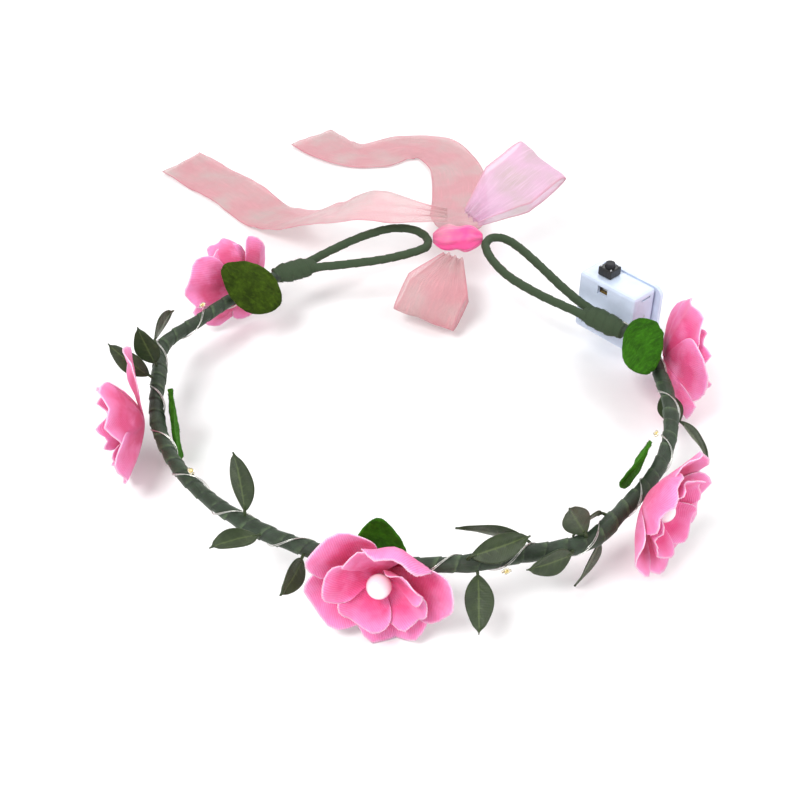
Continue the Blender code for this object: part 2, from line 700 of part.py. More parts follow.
def from_knot(knot, place):
    x, y, height = place
    return Vector((knot.x + x * MM, knot.y + y * MM, TABLE_HEIGHT + height * MM))


def strip(name, knot, stations):
    """A flat ribbon along a route, each station with the direction of its width."""
    middle = smooth_route([from_knot(knot, place) for place, across in stations])
    across = smooth_route([Vector(across).normalized() for place, across in stations])
    middle = middle[::2]
    across = across[::2]
    bm = bmesh.new()
    bmesh.ops.create_grid(bm, x_segments=len(middle) - 1, y_segments=1, size=0.5)
    for vert in bm.verts:
        station = round((vert.co.x + 0.5) * (len(middle) - 1))
        opened = min(1.0, GATHER + (1.0 - GATHER) * station / GATHER_REACH)
        side = vert.co.y * RIBBON_WIDTH * opened
        vert.co = middle[station] + across[station].normalized() * side
    bmesh.ops.recalc_face_normals(bm, faces=bm.faces)
    return solidify(mesh_object(name, bm, organza()), RIBBON_THICKNESS, 0.0)


def bow_loop(name, knot, near, far, across):
    """A flattened loop of ribbon from the knot to its far end and back."""
    near = from_knot(knot, near)
    far = from_knot(knot, far)
    run = far - near
    side = Vector(across)
    side = (side - run * (side.dot(run) / run.length_squared)).normalized()
    rise = run.cross(side).normalized()
    turns = 20
    bm = bmesh.new()
    bmesh.ops.create_grid(bm, x_segments=turns, y_segments=1, size=0.5)
    for vert in bm.verts:
        turn = (0.06 + 0.88 * (vert.co.x + 0.5)) * 2 * math.pi
        reach = (1 - math.cos(turn)) / 2
        swell = math.sin(turn) * BOW_THICKNESS / 2 * (0.3 + 0.7 * reach)
        width = RIBBON_WIDTH * min(1.0, GATHER + 1.4 * reach)
        vert.co = near + run * reach + rise * swell + side * vert.co.y * width
    bmesh.ops.recalc_face_normals(bm, faces=bm.faces)
    return solidify(mesh_object(name, bm, organza()), RIBBON_THICKNESS, 0.0)


def bow(left_tip, right_tip):
    """The knot fills the space between the tips of the two end loops."""
    knot = (left_tip + right_tip) / 2
    span = (right_tip - left_tip).length - 2 * (LOOP_RADIUS + 3 * GAP)
    bm = bmesh.new()
    bmesh.ops.create_uvsphere(bm, u_segments=14, v_segments=8, radius=0.5)
    bmesh.ops.scale(bm, vec=(span, KNOT_DEPTH, KNOT_HEIGHT), verts=bm.verts)
    place = axes_matrix(knot, right_tip - left_tip, Vector((0, 0, 1)))
    mesh_object("bow_knot", bm, material("knot_ribbon", (0.95, 0.2, 0.42), 0.5), place)
    bow_loop("bow_loop_right", knot, *BOW_RIGHT)
    bow_loop("bow_loop_lower", knot, *BOW_LOWER)
    strip("ribbon_tail_up", knot, TAIL_UP)
    strip("ribbon_tail_left", knot, TAIL_LEFT)


# ---------------------------------------------------------------- assembly

def main():
    for obj in list(bpy.data.objects):
        bpy.data.objects.remove(obj, do_unlink=True)
    collection("flower_crown")
    collection("cutters")
    band()
    left_end = end_axes(BAND_START, -1.0)
    right_end = end_axes(BAND_END, 1.0)
    left_tip = end_loop("left_end_loop", left_end, LEFT_LOOP)
    right_tip = end_loop("right_end_loop", right_end, RIGHT_LOOP)
    binding("left_loop_binding", left_end)
    binding("right_loop_binding", right_end)
    for number, (angle, spin) in enumerate(FLOWERS, start=1):
        flower(number, angle, spin)
    for number, shape in enumerate(FELT_LEAVES, start=1):
        felt_leaf(number, *shape)
    for number, shape in enumerate(LEAVES, start=1):
        small_leaf(number, *shape)
    place = case_matrix()
    battery_case(place)
    battery_cover(place)
    cells_and_contacts(place)
    power_switch(place)
    light_string(place)
    bow(left_tip, right_tip)
    bpy.context.view_layer.update()


main()
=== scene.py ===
"""The finished looks of a lit flower crown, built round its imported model.

Metres and degrees. The origin is the centre of the head opening, in the middle plane
of the band; +Z is up when worn, -Y is the front and +X is the wearer's left.
"""

import math
import random

import bmesh
import bpy
from mathutils import Matrix, Vector, noise


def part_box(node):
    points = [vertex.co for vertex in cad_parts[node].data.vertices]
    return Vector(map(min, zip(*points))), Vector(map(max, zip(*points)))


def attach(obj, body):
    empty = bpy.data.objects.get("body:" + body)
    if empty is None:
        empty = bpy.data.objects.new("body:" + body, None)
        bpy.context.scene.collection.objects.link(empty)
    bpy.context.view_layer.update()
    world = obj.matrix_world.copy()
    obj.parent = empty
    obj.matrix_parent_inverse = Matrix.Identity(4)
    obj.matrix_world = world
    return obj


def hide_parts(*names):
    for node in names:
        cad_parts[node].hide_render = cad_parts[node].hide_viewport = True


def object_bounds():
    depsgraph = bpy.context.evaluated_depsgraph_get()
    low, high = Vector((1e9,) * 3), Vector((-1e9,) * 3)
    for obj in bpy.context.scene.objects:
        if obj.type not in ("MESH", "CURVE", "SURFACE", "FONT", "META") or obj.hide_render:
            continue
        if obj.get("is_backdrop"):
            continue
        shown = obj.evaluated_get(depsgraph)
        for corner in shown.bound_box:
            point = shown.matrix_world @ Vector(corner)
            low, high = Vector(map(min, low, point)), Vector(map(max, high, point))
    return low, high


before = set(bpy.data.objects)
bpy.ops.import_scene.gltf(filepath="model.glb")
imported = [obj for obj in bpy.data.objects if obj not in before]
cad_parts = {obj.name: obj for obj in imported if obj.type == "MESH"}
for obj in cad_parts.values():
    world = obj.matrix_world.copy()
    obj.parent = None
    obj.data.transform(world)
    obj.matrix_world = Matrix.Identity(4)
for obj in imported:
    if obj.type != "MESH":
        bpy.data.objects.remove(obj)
CAD_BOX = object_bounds()

bl_info = {
    "name": "Flower Crown",
    "version": (1, 0, 0),
    "blender": (4, 5, 0),
    "location": "View3D > Sidebar > Flower Crown",
    "description": "Builds a taped wire crown with fabric flowers, lights and a ribbon bow",
    "category": "Object",
}

MM = 0.001
FULL_TURN = 2 * math.pi
UP = Vector((0.0, 0.0, 1.0))
OPTIONS = {"REGISTER", "UNDO"}

# The band, seen from above
BAND_HALF_WIDTH = 86.3 * MM
BAND_HALF_DEPTH = 80.0 * MM
BAND_TURN = -18.0
BAND_KNUCKLES = ((122.0, 2.5), (164.0, 4.5), (306.0, 3.5), (18.0, 3.0), (31.0, -3.0))
KNUCKLE_SPREAD = 8.0
BAND_START = 121.5
BAND_END = 389.0
TABLE_HEIGHT = -20.5 * MM
ATTACH_RADIUS = 3.5 * MM             # where leaves and flowers begin

# End loops, from the ends of the band: distance on from the end in mm, then outward
LOOP_RISE = 4.0 * MM
LOOP_START = (0.45, 1.95)
RIGHT_LOOP = (
    (7.0, 2.2), (15.5, 3.5), (26.5, 6.5), (39.0, 10.5), (51.5, 14.0), (59.0, 14.5),
    (63.0, 11.5), (62.0, 6.0), (56.5, 1.5), (49.0, -2.0), (41.0, -4.0), (31.0, -4.5),
    (20.5, -3.8), (13.0, -2.8), (7.0, -2.2),
)
LEFT_LOOP = (
    (7.0, 2.2), (17.5, 5.0), (31.5, 7.5), (44.0, 7.0), (51.5, 2.0), (54.0, -6.0),
    (50.5, -12.5), (39.5, -12.5), (30.0, -10.5), (17.0, -6.0), (7.0, -2.2),
)

# Flowers: angle round the band, then the turn of the flower about its own axis
PETALS = 5
PETAL_NOTCH = 0.52
OUTER_RADIUS = 22.5 * MM
INNER_RADIUS = 16.5 * MM
PETAL_BASE = 0.6 * MM
LAYER_RISE = 1.8 * MM
FLOWERS = ((135.5, 20.0), (191.5, -90.0), (264.0, -78.0), (321.0, 54.0), (12.0, -54.0))

# Felt leaves: angle round the band, tilt from facing inward to facing up, shift up the
# leaf's own face in mm, heading from the band's direction, length and width in mm
FELT_BOW = 1.6 * MM
FELT_THICKNESS = 0.9 * MM
FELT_LEAVES = (
    (136.5, 40.0, 1.0, 55.0, 26.0, 19.0),
    (189.0, 0.0, -5.0, 90.0, 28.0, 17.0),
    (262.5, 8.0, -1.0, 90.0, 27.0, 16.0),
    (330.0, 12.0, 1.0, 0.0, 22.0, 13.0),
    (12.0, 42.0, 0.5, 180.0, 29.0, 17.0),
)

# Satin leaves: angle round the band, side of the band (0 outward, 90 up, 180 inward),
# lean from the band's direction, roll about the leaf's own axis, length in mm
LEAF_WIDTH = 8.5 * MM
LEAF_BASE = 0.5 * MM
LEAF_FOLD = 0.9 * MM
LEAF_DROOP = 1.8 * MM
STEM_SIDES = 8
LEAVES = (
    (163.5, 12.0, 168.0, 0.0, 18.0),
    (173.5, 75.0, 86.0, 0.0, 15.0),
    (177.0, 42.0, 97.0, 0.0, 17.0),
    (231.5, 105.0, 106.0, 90.0, 19.0),
    (237.0, 25.0, 108.0, 80.0, 16.0),
    (247.5, -8.0, 84.0, 20.0, 13.0),
    (282.5, -20.0, 98.0, 80.0, 17.0),
    (281.5, 75.0, 24.0, 0.0, 18.0),
    (294.0, 158.0, 154.0, 0.0, 21.0),
    (301.0, 15.0, 158.0, 0.0, 15.0),
    (304.5, 85.0, 118.0, 90.0, 19.0),
    (309.0, -92.0, 112.0, 90.0, 17.0),
    (312.5, 150.0, 165.0, 0.0, 14.0),
    (350.5, -30.0, 122.0, 40.0, 15.0),
    (2.0, -75.0, 164.0, 0.0, 15.0),
)

# String of lights
LEAD_TURNS = 17
LEAD_MARGIN = 8.0
LEAD_EXIT = BAND_END - 4.0
LEAD_EXIT_SIDE = 50.0
LED_ANGLES = (150.0, 214.0, 288.0, 343.0)

# Battery box, in its own axes: X along, Y out from the head, Z up
CASE_ORIGIN = Vector((0.07111, 0.04706, -0.0013))
CASE_ALONG = Vector((0.6743, -0.73846, 0.0))
HALF_LENGTH = 13.0 * MM
CASE_DEPTH = 11.9 * MM
SWITCH_OFFSET = -4.1 * MM
RIVET_STEP = 2.25 * MM               # from the middle of the switch to a rivet

# Ribbon, in mm from the middle of the knot, with heights above the table: the middle of
# each station, the direction of its width, and its width as a share of the whole
TAIL_UP = (
    ((2.0, 8.0, 22.0), (1, 0, 0), 0.3), ((2.0, 25.0, 15.0), (1, 0, 0), 0.75),
    ((3.0, 52.5, 4.5), (1, 0, 0), 1), ((4.5, 77.5, 0.5), (1, 0, 0), 1),
    ((3.5, 102.5, 0.5), (1, 0.1, 0), 1), ((-5.5, 121.5, 0.5), (0.8, 0.9, 0), 1),
    ((-20.5, 123.5, 0.5), (-0.2, 1, 0), 1), ((-35.5, 115.5, 0.5), (-0.5, 1, 0), 1),
    ((-51.5, 119.5, 0.5), (0.4, 1, 0), 1), ((-66.5, 134.5, 0.5), (0.8, 0.7, 0), 1),
)
TAIL_LEFT = (
    ((-4.0, 7.0, 31.0), (0, 1, 0.1), 0.3), ((-20.0, 11.0, 31.0), (0, 1, 0.1), 0.7),
    ((-37.0, 15.0, 30.5), (0.2, 1, 0), 1), ((-53.0, 26.5, 20.5), (0.6, 0.8, 0), 1),
    ((-67.0, 42.5, 8.5), (0.75, 0.66, 0), 1), ((-81.0, 58.5, 0.5), (0.75, 0.66, 0), 1),
    ((-97.0, 78.5, 0.5), (0.7, 0.7, 0), 1), ((-113.0, 94.5, 0.5), (0.6, 0.8, 0), 1),
    ((-127.0, 108.5, 0.5), (0.6, 0.8, 0), 1),
)
BOW_RIGHT = ((5.0, 7.0, 29.0), (36.0, 35.0, 40.0), (0.7, -0.55, -0.26))
BOW_LOWER = ((-1.5, -7.5, 21.5), (-14.0, -30.5, 6.5), (1.0, -0.2, 0.0))
BOW_THICKNESS = 9.0 * MM


# ---------------------------------------------------------------- settings

def paint(red, green, blue):
    """A linear colour from the usual values of 0 to 255."""
    shares = [value / 255 for value in (red, green, blue)]
    return tuple(s / 12.92 if s <= 0.04045 else ((s + 0.055) / 1.055) ** 2.4 for s in shares)


def length_setting(name, default, description):
    return bpy.props.FloatProperty(
        name=name, description=description, default=default, min=0.0, unit="LENGTH", precision=5
    )


def share_setting(name, default, description):
    return bpy.props.FloatProperty(
        name=name, description=description, default=default, min=0.0, max=1.0, subtype="FACTOR"
    )


def colour_setting(name, default, description):
    return bpy.props.FloatVectorProperty(
        name=name, description=description, default=paint(*default), min=0.0, max=1.0,
        size=3, subtype="COLOR",
    )


class CrownTapeSettings(bpy.types.PropertyGroup):
    radius: length_setting("Radius", 2.15 * MM, "Outside of the taped band between overlaps")
    pitch: length_setting("Pitch", 6.4 * MM, "Distance from one turn of the tape to the next")
    ridge: length_setting("Ridge", 0.32 * MM, "Height of each overlap of the tape")
    loop_radius: length_setting("Loop radius", 1.55 * MM, "Outside of the taped end loops")
    colour: colour_setting("Colour", (20, 32, 17), "Green of the crepe tape")
    shine: colour_setting("Shine", (46, 66, 48), "Waxy highlights of the stretched tape")


class CrownPetalSettings(bpy.types.PropertyGroup):
    thickness: length_setting("Thickness", 0.3 * MM, "Thickness of the petal fabric")
    ruffle: length_setting("Ruffle", 1.3 * MM, "Height of the waves along a petal's rim")
    rib: length_setting("Rib", 0.62 * MM, "Distance between the ribs of the weave")
    overlap: bpy.props.FloatProperty(
        name="Overlap", description="How far a petal reaches over the next one",
        default=math.radians(9.0), min=0.0, max=math.radians(30.0), subtype="ANGLE",
    )
    colour: colour_setting("Colour", (236, 92, 150), "Pink of the petals")
    heart: colour_setting("Heart", (212, 48, 104), "Deeper pink of the middle")
    rim: colour_setting("Rim", (250, 158, 214), "Faded pink of the cut edges")
    pearl: length_setting("Pearl", 7.2 * MM, "Diameter of the pearls")


class CrownLeafSettings(bpy.types.PropertyGroup):
    thickness: length_setting("Thickness", 0.3 * MM, "Thickness of the satin")
    vein: length_setting("Vein", 0.14 * MM, "Height of the pressed veins")
    colour: colour_setting("Colour", (44, 60, 24), "Green of the satin leaves")
    veins: colour_setting("Veins", (84, 100, 52), "Paler green of the veins")
    felt: colour_setting("Felt", (46, 96, 10), "Green of the felt leaves")
    olive: colour_setting("Olive felt", (52, 72, 10), "Darker green of the folded leaf")


class CrownLightSettings(bpy.types.PropertyGroup):
    strand: length_setting("Strand", 0.13 * MM, "Radius of each of the two strands")
    spacing: length_setting("Spacing", 0.2 * MM, "From the middle of the lead to a strand")
    coil: length_setting("Coil", 2.72 * MM, "From the middle of the band to the lead")
    silver: colour_setting("Silver", (214, 214, 208), "Colour of the bare wire")


class CrownBoxSettings(bpy.types.PropertyGroup):
    shell: colour_setting("Shell", (206, 218, 238), "Bluish white of the case and its cover")
    switch: colour_setting("Switch", (22, 22, 24), "Black of the switch")
    texture: length_setting("Texture", 0.02 * MM, "Depth of the moulded texture")


class CrownRibbonSettings(bpy.types.PropertyGroup):
    width: length_setting("Width", 25.0 * MM, "Width of the ribbon")
    thickness: length_setting("Thickness", 0.12 * MM, "Thickness of the ribbon")
    crinkle: length_setting("Crinkle", 0.9 * MM, "Height of the soft waves")
    cover: share_setting("Cover", 0.38, "How much one face of the ribbon hides")
    colour: colour_setting("Colour", (214, 148, 156), "Dusty pink of the ribbon")
    knot: colour_setting("Knot", (255, 84, 160), "Bright pink of the gathered knot")
    bow: colour_setting("Bow", (226, 184, 212), "Lilac of the upper bow loop")


class CrownStageSettings(bpy.types.PropertyGroup):
    floor: colour_setting("Floor", (246, 246, 246), "Pale floor")
    light: bpy.props.FloatProperty(
        name="Light", description="Strength of the soft light all round", default=0.62, min=0.0
    )


# ---------------------------------------------------------------- places on the crown

def band_radius(angle):
    turned = math.radians(angle - BAND_TURN)
    across = BAND_HALF_DEPTH * math.cos(turned)
    along = BAND_HALF_WIDTH * math.sin(turned)
    radius = BAND_HALF_WIDTH * BAND_HALF_DEPTH / math.hypot(across, along)
    for centre, bulge in BAND_KNUCKLES:
        away = (angle - centre + 180.0) % 360.0 - 180.0
        radius += bulge * MM * math.exp(-(away / KNUCKLE_SPREAD) ** 2)
    return radius


def band_point(angle):
    turned = math.radians(angle)
    return Vector((math.cos(turned), math.sin(turned), 0.0)) * band_radius(angle)


def band_axes(angle):
    """Unit vectors along the band (anticlockwise) and straight out from it."""
    along = (band_point(angle + 0.5) - band_point(angle - 0.5)).normalized()
    return along, along.cross(UP)


def side_vector(angle, side):
    turned = math.radians(side)
    return band_axes(angle)[1] * math.cos(turned) + UP * math.sin(turned)


def axes_matrix(origin, x_axis, z_axis):
    z_axis = z_axis.normalized()
    y_axis = z_axis.cross(x_axis).normalized()
    x_axis = y_axis.cross(z_axis)
    turn = Matrix((x_axis, y_axis, z_axis)).transposed()
    return Matrix.Translation(origin) @ turn.to_4x4()


def end_axes(angle, onward):
    """Origin at an end of the band, X on from that end, Y outward."""
    along, outward = band_axes(angle)
    turn = Matrix((along * onward, outward, UP)).transposed()
    return Matrix.Translation(band_point(angle)) @ turn.to_4x4()


def smooth_route(points, steps=12):
    """Catmull-Rom points through the given ones."""
    points = [Vector(point) for point in points]
    last = len(points) - 1
    route = []
    for i in range(last):
        before = points[max(i - 1, 0)]
        after = points[min(i + 2, last)]
        for step in range(steps):
            t = step / steps
            a = 2 * points[i]
            b = points[i + 1] - before
            c = 2 * before - 5 * points[i] + 4 * points[i + 1] - after
            d = 3 * (points[i] - points[i + 1]) + after - before
            route.append((a + b * t + c * t * t + d * t * t * t) / 2)
    route.append(points[-1])
    return route


def resample(route, step):
    """The same line, with its points about a step apart."""
    reached = [0.0]
    for start, end in zip(route, route[1:]):
        reached.append(reached[-1] + (end - start).length)
    count = max(2, round(reached[-1] / step))
    points = []
    piece = 0
    for i in range(count + 1):
        wanted = reached[-1] * i / count
        while piece < len(route) - 2 and reached[piece + 1] < wanted:
            piece += 1
        span = reached[piece + 1] - reached[piece]
        share = min(1.0, (wanted - reached[piece]) / span)
        points.append(route[piece].lerp(route[piece + 1], share))
    return points


def stations_along(route, side=None):
    """Middle, side and up at each point of a route, turned as little as can be."""
    last = len(route) - 1
    side = side or (route[1] - route[0]).orthogonal()
    stations = []
    for i, middle in enumerate(route):
        forward = (route[min(i + 1, last)] - route[max(i - 1, 0)]).normalized()
        side = (side - forward * side.dot(forward)).normalized()
        stations.append((middle, side, forward.cross(side)))
    return stations


def loop_route(place, outline):
    start, rise = LOOP_START, LOOP_RISE
    flat = smooth_route([(start[0], start[1]), *outline, (start[0], -start[1])])
    reach = max(point.x for point in flat)
    return [place @ Vector((p.x * MM, p.y * MM, rise * p.x / reach)) for p in flat]


def flower_rim(turn):
    phase = (turn * PETALS / FULL_TURN) % 1.0 - 0.5
    crest = max(math.cos(math.pi * phase), 0.0) ** 0.4
    return PETAL_NOTCH + (1.0 - PETAL_NOTCH) * crest


def flower_place(angle, spin):
    """Z out along the flower's axis; the lowest petal stands on the table."""
    reach = 0.0
    for step in range(PETALS * 5):
        turn = FULL_TURN * step / (PETALS * 5)
        rim = OUTER_RADIUS * flower_rim(turn + math.pi / PETALS)
        reach = max(reach, -rim * math.sin(turn + math.radians(spin)))
    along, outward = band_axes(angle)
    base = band_point(angle) + outward * (ATTACH_RADIUS + PETAL_BASE)
    base.z = TABLE_HEIGHT + reach
    return axes_matrix(base, along, outward) @ Matrix.Rotation(math.radians(spin), 4, "Z")


def lead_point(angle, coil):
    turns_left = LEAD_TURNS * (LEAD_EXIT - angle) / (BAND_END - BAND_START)
    side = LEAD_EXIT_SIDE - 360.0 * turns_left
    return band_point(angle) + side_vector(angle, side) * coil


def case_place():
    return axes_matrix(CASE_ORIGIN, CASE_ALONG, UP)


def smooth_step(low, high, value):
    share = min(1.0, max(0.0, (value - low) / (high - low)))
    return share * share * (3.0 - 2.0 * share)


# ---------------------------------------------------------------- making meshes

class Draft:
    """Points, faces, flat places and one mark a point, gathered for one mesh."""

    def __init__(self):
        self.places = []
        self.faces = []
        self.flats = []
        self.marks = []

    def grid(self, rows, columns, point, flat, mark, around=False):
        """around joins the last column to the first and closes both ends."""
        first = len(self.places)
        across = columns if around else columns + 1
        for i in range(rows + 1):
            for j in range(across):
                self.places.append(point(i, j))
                self.marks.append(mark(i, j))
        for i in range(rows):
            here = first + i * across
            above = here + across
            for j in range(columns):
                beside = (j + 1) % across
                self.faces.append((here + j, here + beside, above + beside, above + j))
                self.flats += [flat(i, j), flat(i, j + 1), flat(i + 1, j + 1), flat(i + 1, j)]
        if around:
            for row, turned in ((0, -1), (rows, 1)):
                ring = [first + row * across + j for j in range(across)][::turned]
                self.faces.append(tuple(ring))
                self.flats += [flat(row, j) for j in range(across)][::turned]

    def thread(self, base, along, length, radius, mark):
        """A thin closed spike, for a loose thread or a fibre."""
        side = along.orthogonal().normalized()
        other = along.cross(side).normalized()
        first = len(self.places)
        for turn in (0.0, FULL_TURN / 3, FULL_TURN * 2 / 3):
            self.places.append(base + (side * math.cos(turn) + other * math.sin(turn)) * radius)
        self.places.append(base + along.normalized() * length)
        self.marks += [mark] * 4
        for face in ((0, 2, 1), (0, 1, 3), (1, 2, 3), (2, 0, 3)):
            self.faces.append(tuple(first + corner for corner in face))
            self.flats += [(0.0, 0.0)] * 3

    def flat_area(self):
        """Area of the cloth as it was cut."""
        total = 0.0
        first = 0
        for face in self.faces:
            ring = self.flats[first:first + len(face)]
            first += len(face)
            total += sum(a[0] * b[1] - b[0] * a[1] for a, b in zip(ring, ring[1:] + ring[:1])) / 2
        return abs(total)

    def piece(self, name, outward=False):
        mesh = bpy.data.meshes.new(name)
        mesh.from_pydata(self.places, [], self.faces)
        flat = mesh.uv_layers.new(name="UVMap")
        flat.data.foreach_set("uv", [value for pair in self.flats for value in pair])
        mark = mesh.attributes.new("mark", "FLOAT", "POINT")
        mark.data.foreach_set("value", self.marks)
        if outward:
            shape = bmesh.new()
            shape.from_mesh(mesh)
            bmesh.ops.recalc_face_normals(shape, faces=shape.faces)
            shape.to_mesh(mesh)
            shape.free()
        mesh.shade_smooth()
        piece = bpy.data.objects.new(name, mesh)
        bpy.context.scene.collection.objects.link(piece)
        return piece


def put_down():
    """Out of edit mode, with nothing selected."""
    if bpy.context.mode != "OBJECT":
        bpy.ops.object.mode_set(mode="OBJECT")
    bpy.ops.object.select_all(action="DESELECT")


def take_up(*pieces):
    put_down()
    for piece in pieces:
        piece.select_set(True)
    bpy.context.view_layer.objects.active = pieces[0]


def apply_modifiers(piece):
    take_up(piece)
    for modifier in list(piece.modifiers):
        bpy.ops.object.modifier_apply(modifier=modifier.name)
    put_down()


def thicken(piece, thickness):
    wall = piece.modifiers.new("wall", "SOLIDIFY")
    wall.thickness = thickness
    wall.offset = 0.0
    apply_modifiers(piece)


def join(piece, *others):
    take_up(piece, *others)
    bpy.ops.object.join()
    put_down()


def settle(piece, place):
    """The piece's place goes into its mesh, and its object stays at the origin."""
    piece.data.transform(piece.matrix_world)
    piece.matrix_world = Matrix.Identity(4)
    piece.data.transform(place)


def copy_of(piece, name):
    copied = piece.copy()
    copied.data = piece.data.copy()
    copied.name = name
    copied.data.name = name
    bpy.context.scene.collection.objects.link(copied)
    return copied


def hand_over(piece, finish, slot, *nodes, body="crown"):
    """Give a piece its finish and its body, and hide the nodes that it stands for."""
    piece.data.materials.clear()
    piece.data.materials.append(finish)
    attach(piece, body)
    if nodes:
        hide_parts(*nodes)
    return piece


def start_by_hand(add, name, **sizes):
    put_down()
    add(**sizes)
    piece = bpy.context.active_object
    piece.name = name
    piece.data.name = name
    return piece


def edit_faces(piece, wanted):
    """Into edit mode with the faces that wanted(middle, normal) picks."""
    take_up(piece)
    bpy.ops.object.mode_set(mode="EDIT")
    bpy.ops.mesh.select_mode(type="FACE")
    bpy.ops.mesh.select_all(action="DESELECT")
    shape = bmesh.from_edit_mesh(piece.data)
    for face in shape.faces:
        if wanted(face.calc_center_median(), face.normal):
            face.select_set(True)
    bmesh.update_edit_mesh(piece.data)


# ---------------------------------------------------------------- finishes

def is_colour(value):
    return isinstance(value, tuple) and len(value) == 3


class Finish:
    """One material and its nodes, in the order that they are laid down."""

    def __init__(self, name):
        self.material = bpy.data.materials.new(name)
        self.material.use_nodes = True
        self.tree = self.material.node_tree
        self.shader = self.tree.nodes["Principled BSDF"]

    def node(self, kind, inputs=None, **settings):
        made = self.tree.nodes.new(kind)
        for name, value in settings.items():
            setattr(made, name, value)
        for name, value in (inputs or {}).items():
            self.feed(made.inputs[name], value)
        return made

    def feed(self, socket, value):
        if isinstance(value, bpy.types.NodeSocket):
            self.tree.links.new(value, socket)
        else:
            socket.default_value = value

    def set(self, **inputs):
        for name, value in inputs.items():
            if is_colour(value) and name in ("Base_Color", "Sheen_Tint", "Coat_Tint"):
                value = (*value, 1.0)
            self.feed(self.shader.inputs[name.replace("_", " ")], value)

    def object_place(self):
        return self.node("ShaderNodeTexCoord").outputs["Object"]

    def flat_place(self):
        return self.node("ShaderNodeUVMap", uv_map="UVMap").outputs["UV"]

    def mark(self):
        return self.node("ShaderNodeAttribute", attribute_name="mark").outputs["Fac"]

    def stretched(self, place, scale):
        return self.node("ShaderNodeMapping", {"Vector": place, "Scale": scale}).outputs["Vector"]

    def cloud(self, place, scale, detail=3.0, roughness=0.55):
        made = self.node(
            "ShaderNodeTexNoise",
            {"Vector": place, "Scale": scale, "Detail": detail, "Roughness": roughness},
        )
        return made.outputs["Fac"]

    def cells(self, place, scale, feature="F1"):
        made = self.node("ShaderNodeTexVoronoi", {"Vector": place, "Scale": scale}, feature=feature)
        return made.outputs["Distance"]

    def sum(self, operation, first, second=0.5, third=0.5):
        made = self.node("ShaderNodeMath", operation=operation)
        for socket, value in zip(made.inputs, (first, second, third)):
            self.feed(socket, value)
        return made.outputs[0]

    def parts(self, place):
        made = self.node("ShaderNodeSeparateXYZ", {"Vector": place})
        return made.outputs["X"], made.outputs["Y"], made.outputs["Z"]

    def wave(self, value, length):
        """A sine from -1 to 1 that repeats over a length."""
        return self.sum("SINE", self.sum("MULTIPLY", value, FULL_TURN / length))

    def blend(self, share, first, second, way="MIX"):
        made = self.node("ShaderNodeMix", data_type="RGBA", blend_type=way)
        for index, value in ((0, share), (6, first), (7, second)):
            self.feed(made.inputs[index], (*value, 1.0) if is_colour(value) else value)
        return made.outputs[2]

    def remap(self, value, low, high, new_low=0.0, new_high=1.0):
        made = self.node(
            "ShaderNodeMapRange",
            {"Value": value, "From Min": low, "From Max": high,
             "To Min": new_low, "To Max": new_high},
        )
        return made.outputs[0]

    def bump(self, height, distance, strength=1.0, below=None):
        made = self.node(
            "ShaderNodeBump", {"Height": height, "Distance": distance, "Strength": strength}
        )
        if below:
            self.feed(made.inputs["Normal"], below)
        return made.outputs["Normal"]


def crepe_tape(settings):
    finish = Finish("stem_tape")
    place = finish.flat_place()
    lap = finish.mark()
    crinkle = finish.cloud(finish.stretched(place, (420.0, 2600.0, 1.0)), 1.0, 4.0, 0.65)
    patches = finish.cloud(finish.object_place(), 320.0, 3.0)
    fibres = finish.cloud(finish.stretched(place, (2600.0, 700.0, 1.0)), 1.0, 2.0)
    # Painted highlight: in patches, the raised edge of each overlap of tape is mixed towards a pale
    # green.
    wear_and_highlight = finish.sum("MULTIPLY", finish.remap(lap, 0.72, 1.0), finish.remap(patches, 0.4, 0.62))
    # Painted highlight: in patches the green turns towards the shine colour, where the waxy tape
    # would catch the light.
    stretched = finish.remap(patches, 0.46, 0.7, 0.0, 0.55)
    colour = finish.blend(stretched, tuple(settings.colour), tuple(settings.shine))
    colour = finish.blend(finish.sum("MULTIPLY", wear_and_highlight, 0.6), colour, paint(96, 118, 78))
    # Painted shadow: the crease just past each overlap of tape is darkened nearly to black.
    colour = finish.blend(finish.remap(lap, 0.0, 0.14, 0.75, 0.0), colour, paint(8, 14, 8))
    colour = finish.blend(finish.remap(crinkle, 0.35, 0.7, 0.0, 0.45), colour, paint(52, 70, 44))
    finish.set(Base_Color=colour, Roughness=finish.remap(crinkle, 0.3, 0.7, 0.42, 0.72))
    normal = finish.bump(crinkle, 0.22 * MM)
    normal = finish.bump(fibres, 0.06 * MM, 0.6, normal)
    finish.set(
        Normal=normal, Sheen_Weight=0.25, Sheen_Roughness=0.5, Sheen_Tint=paint(150, 175, 150)
    )
    finish.set(Specular_IOR_Level=0.45)
    return finish.material


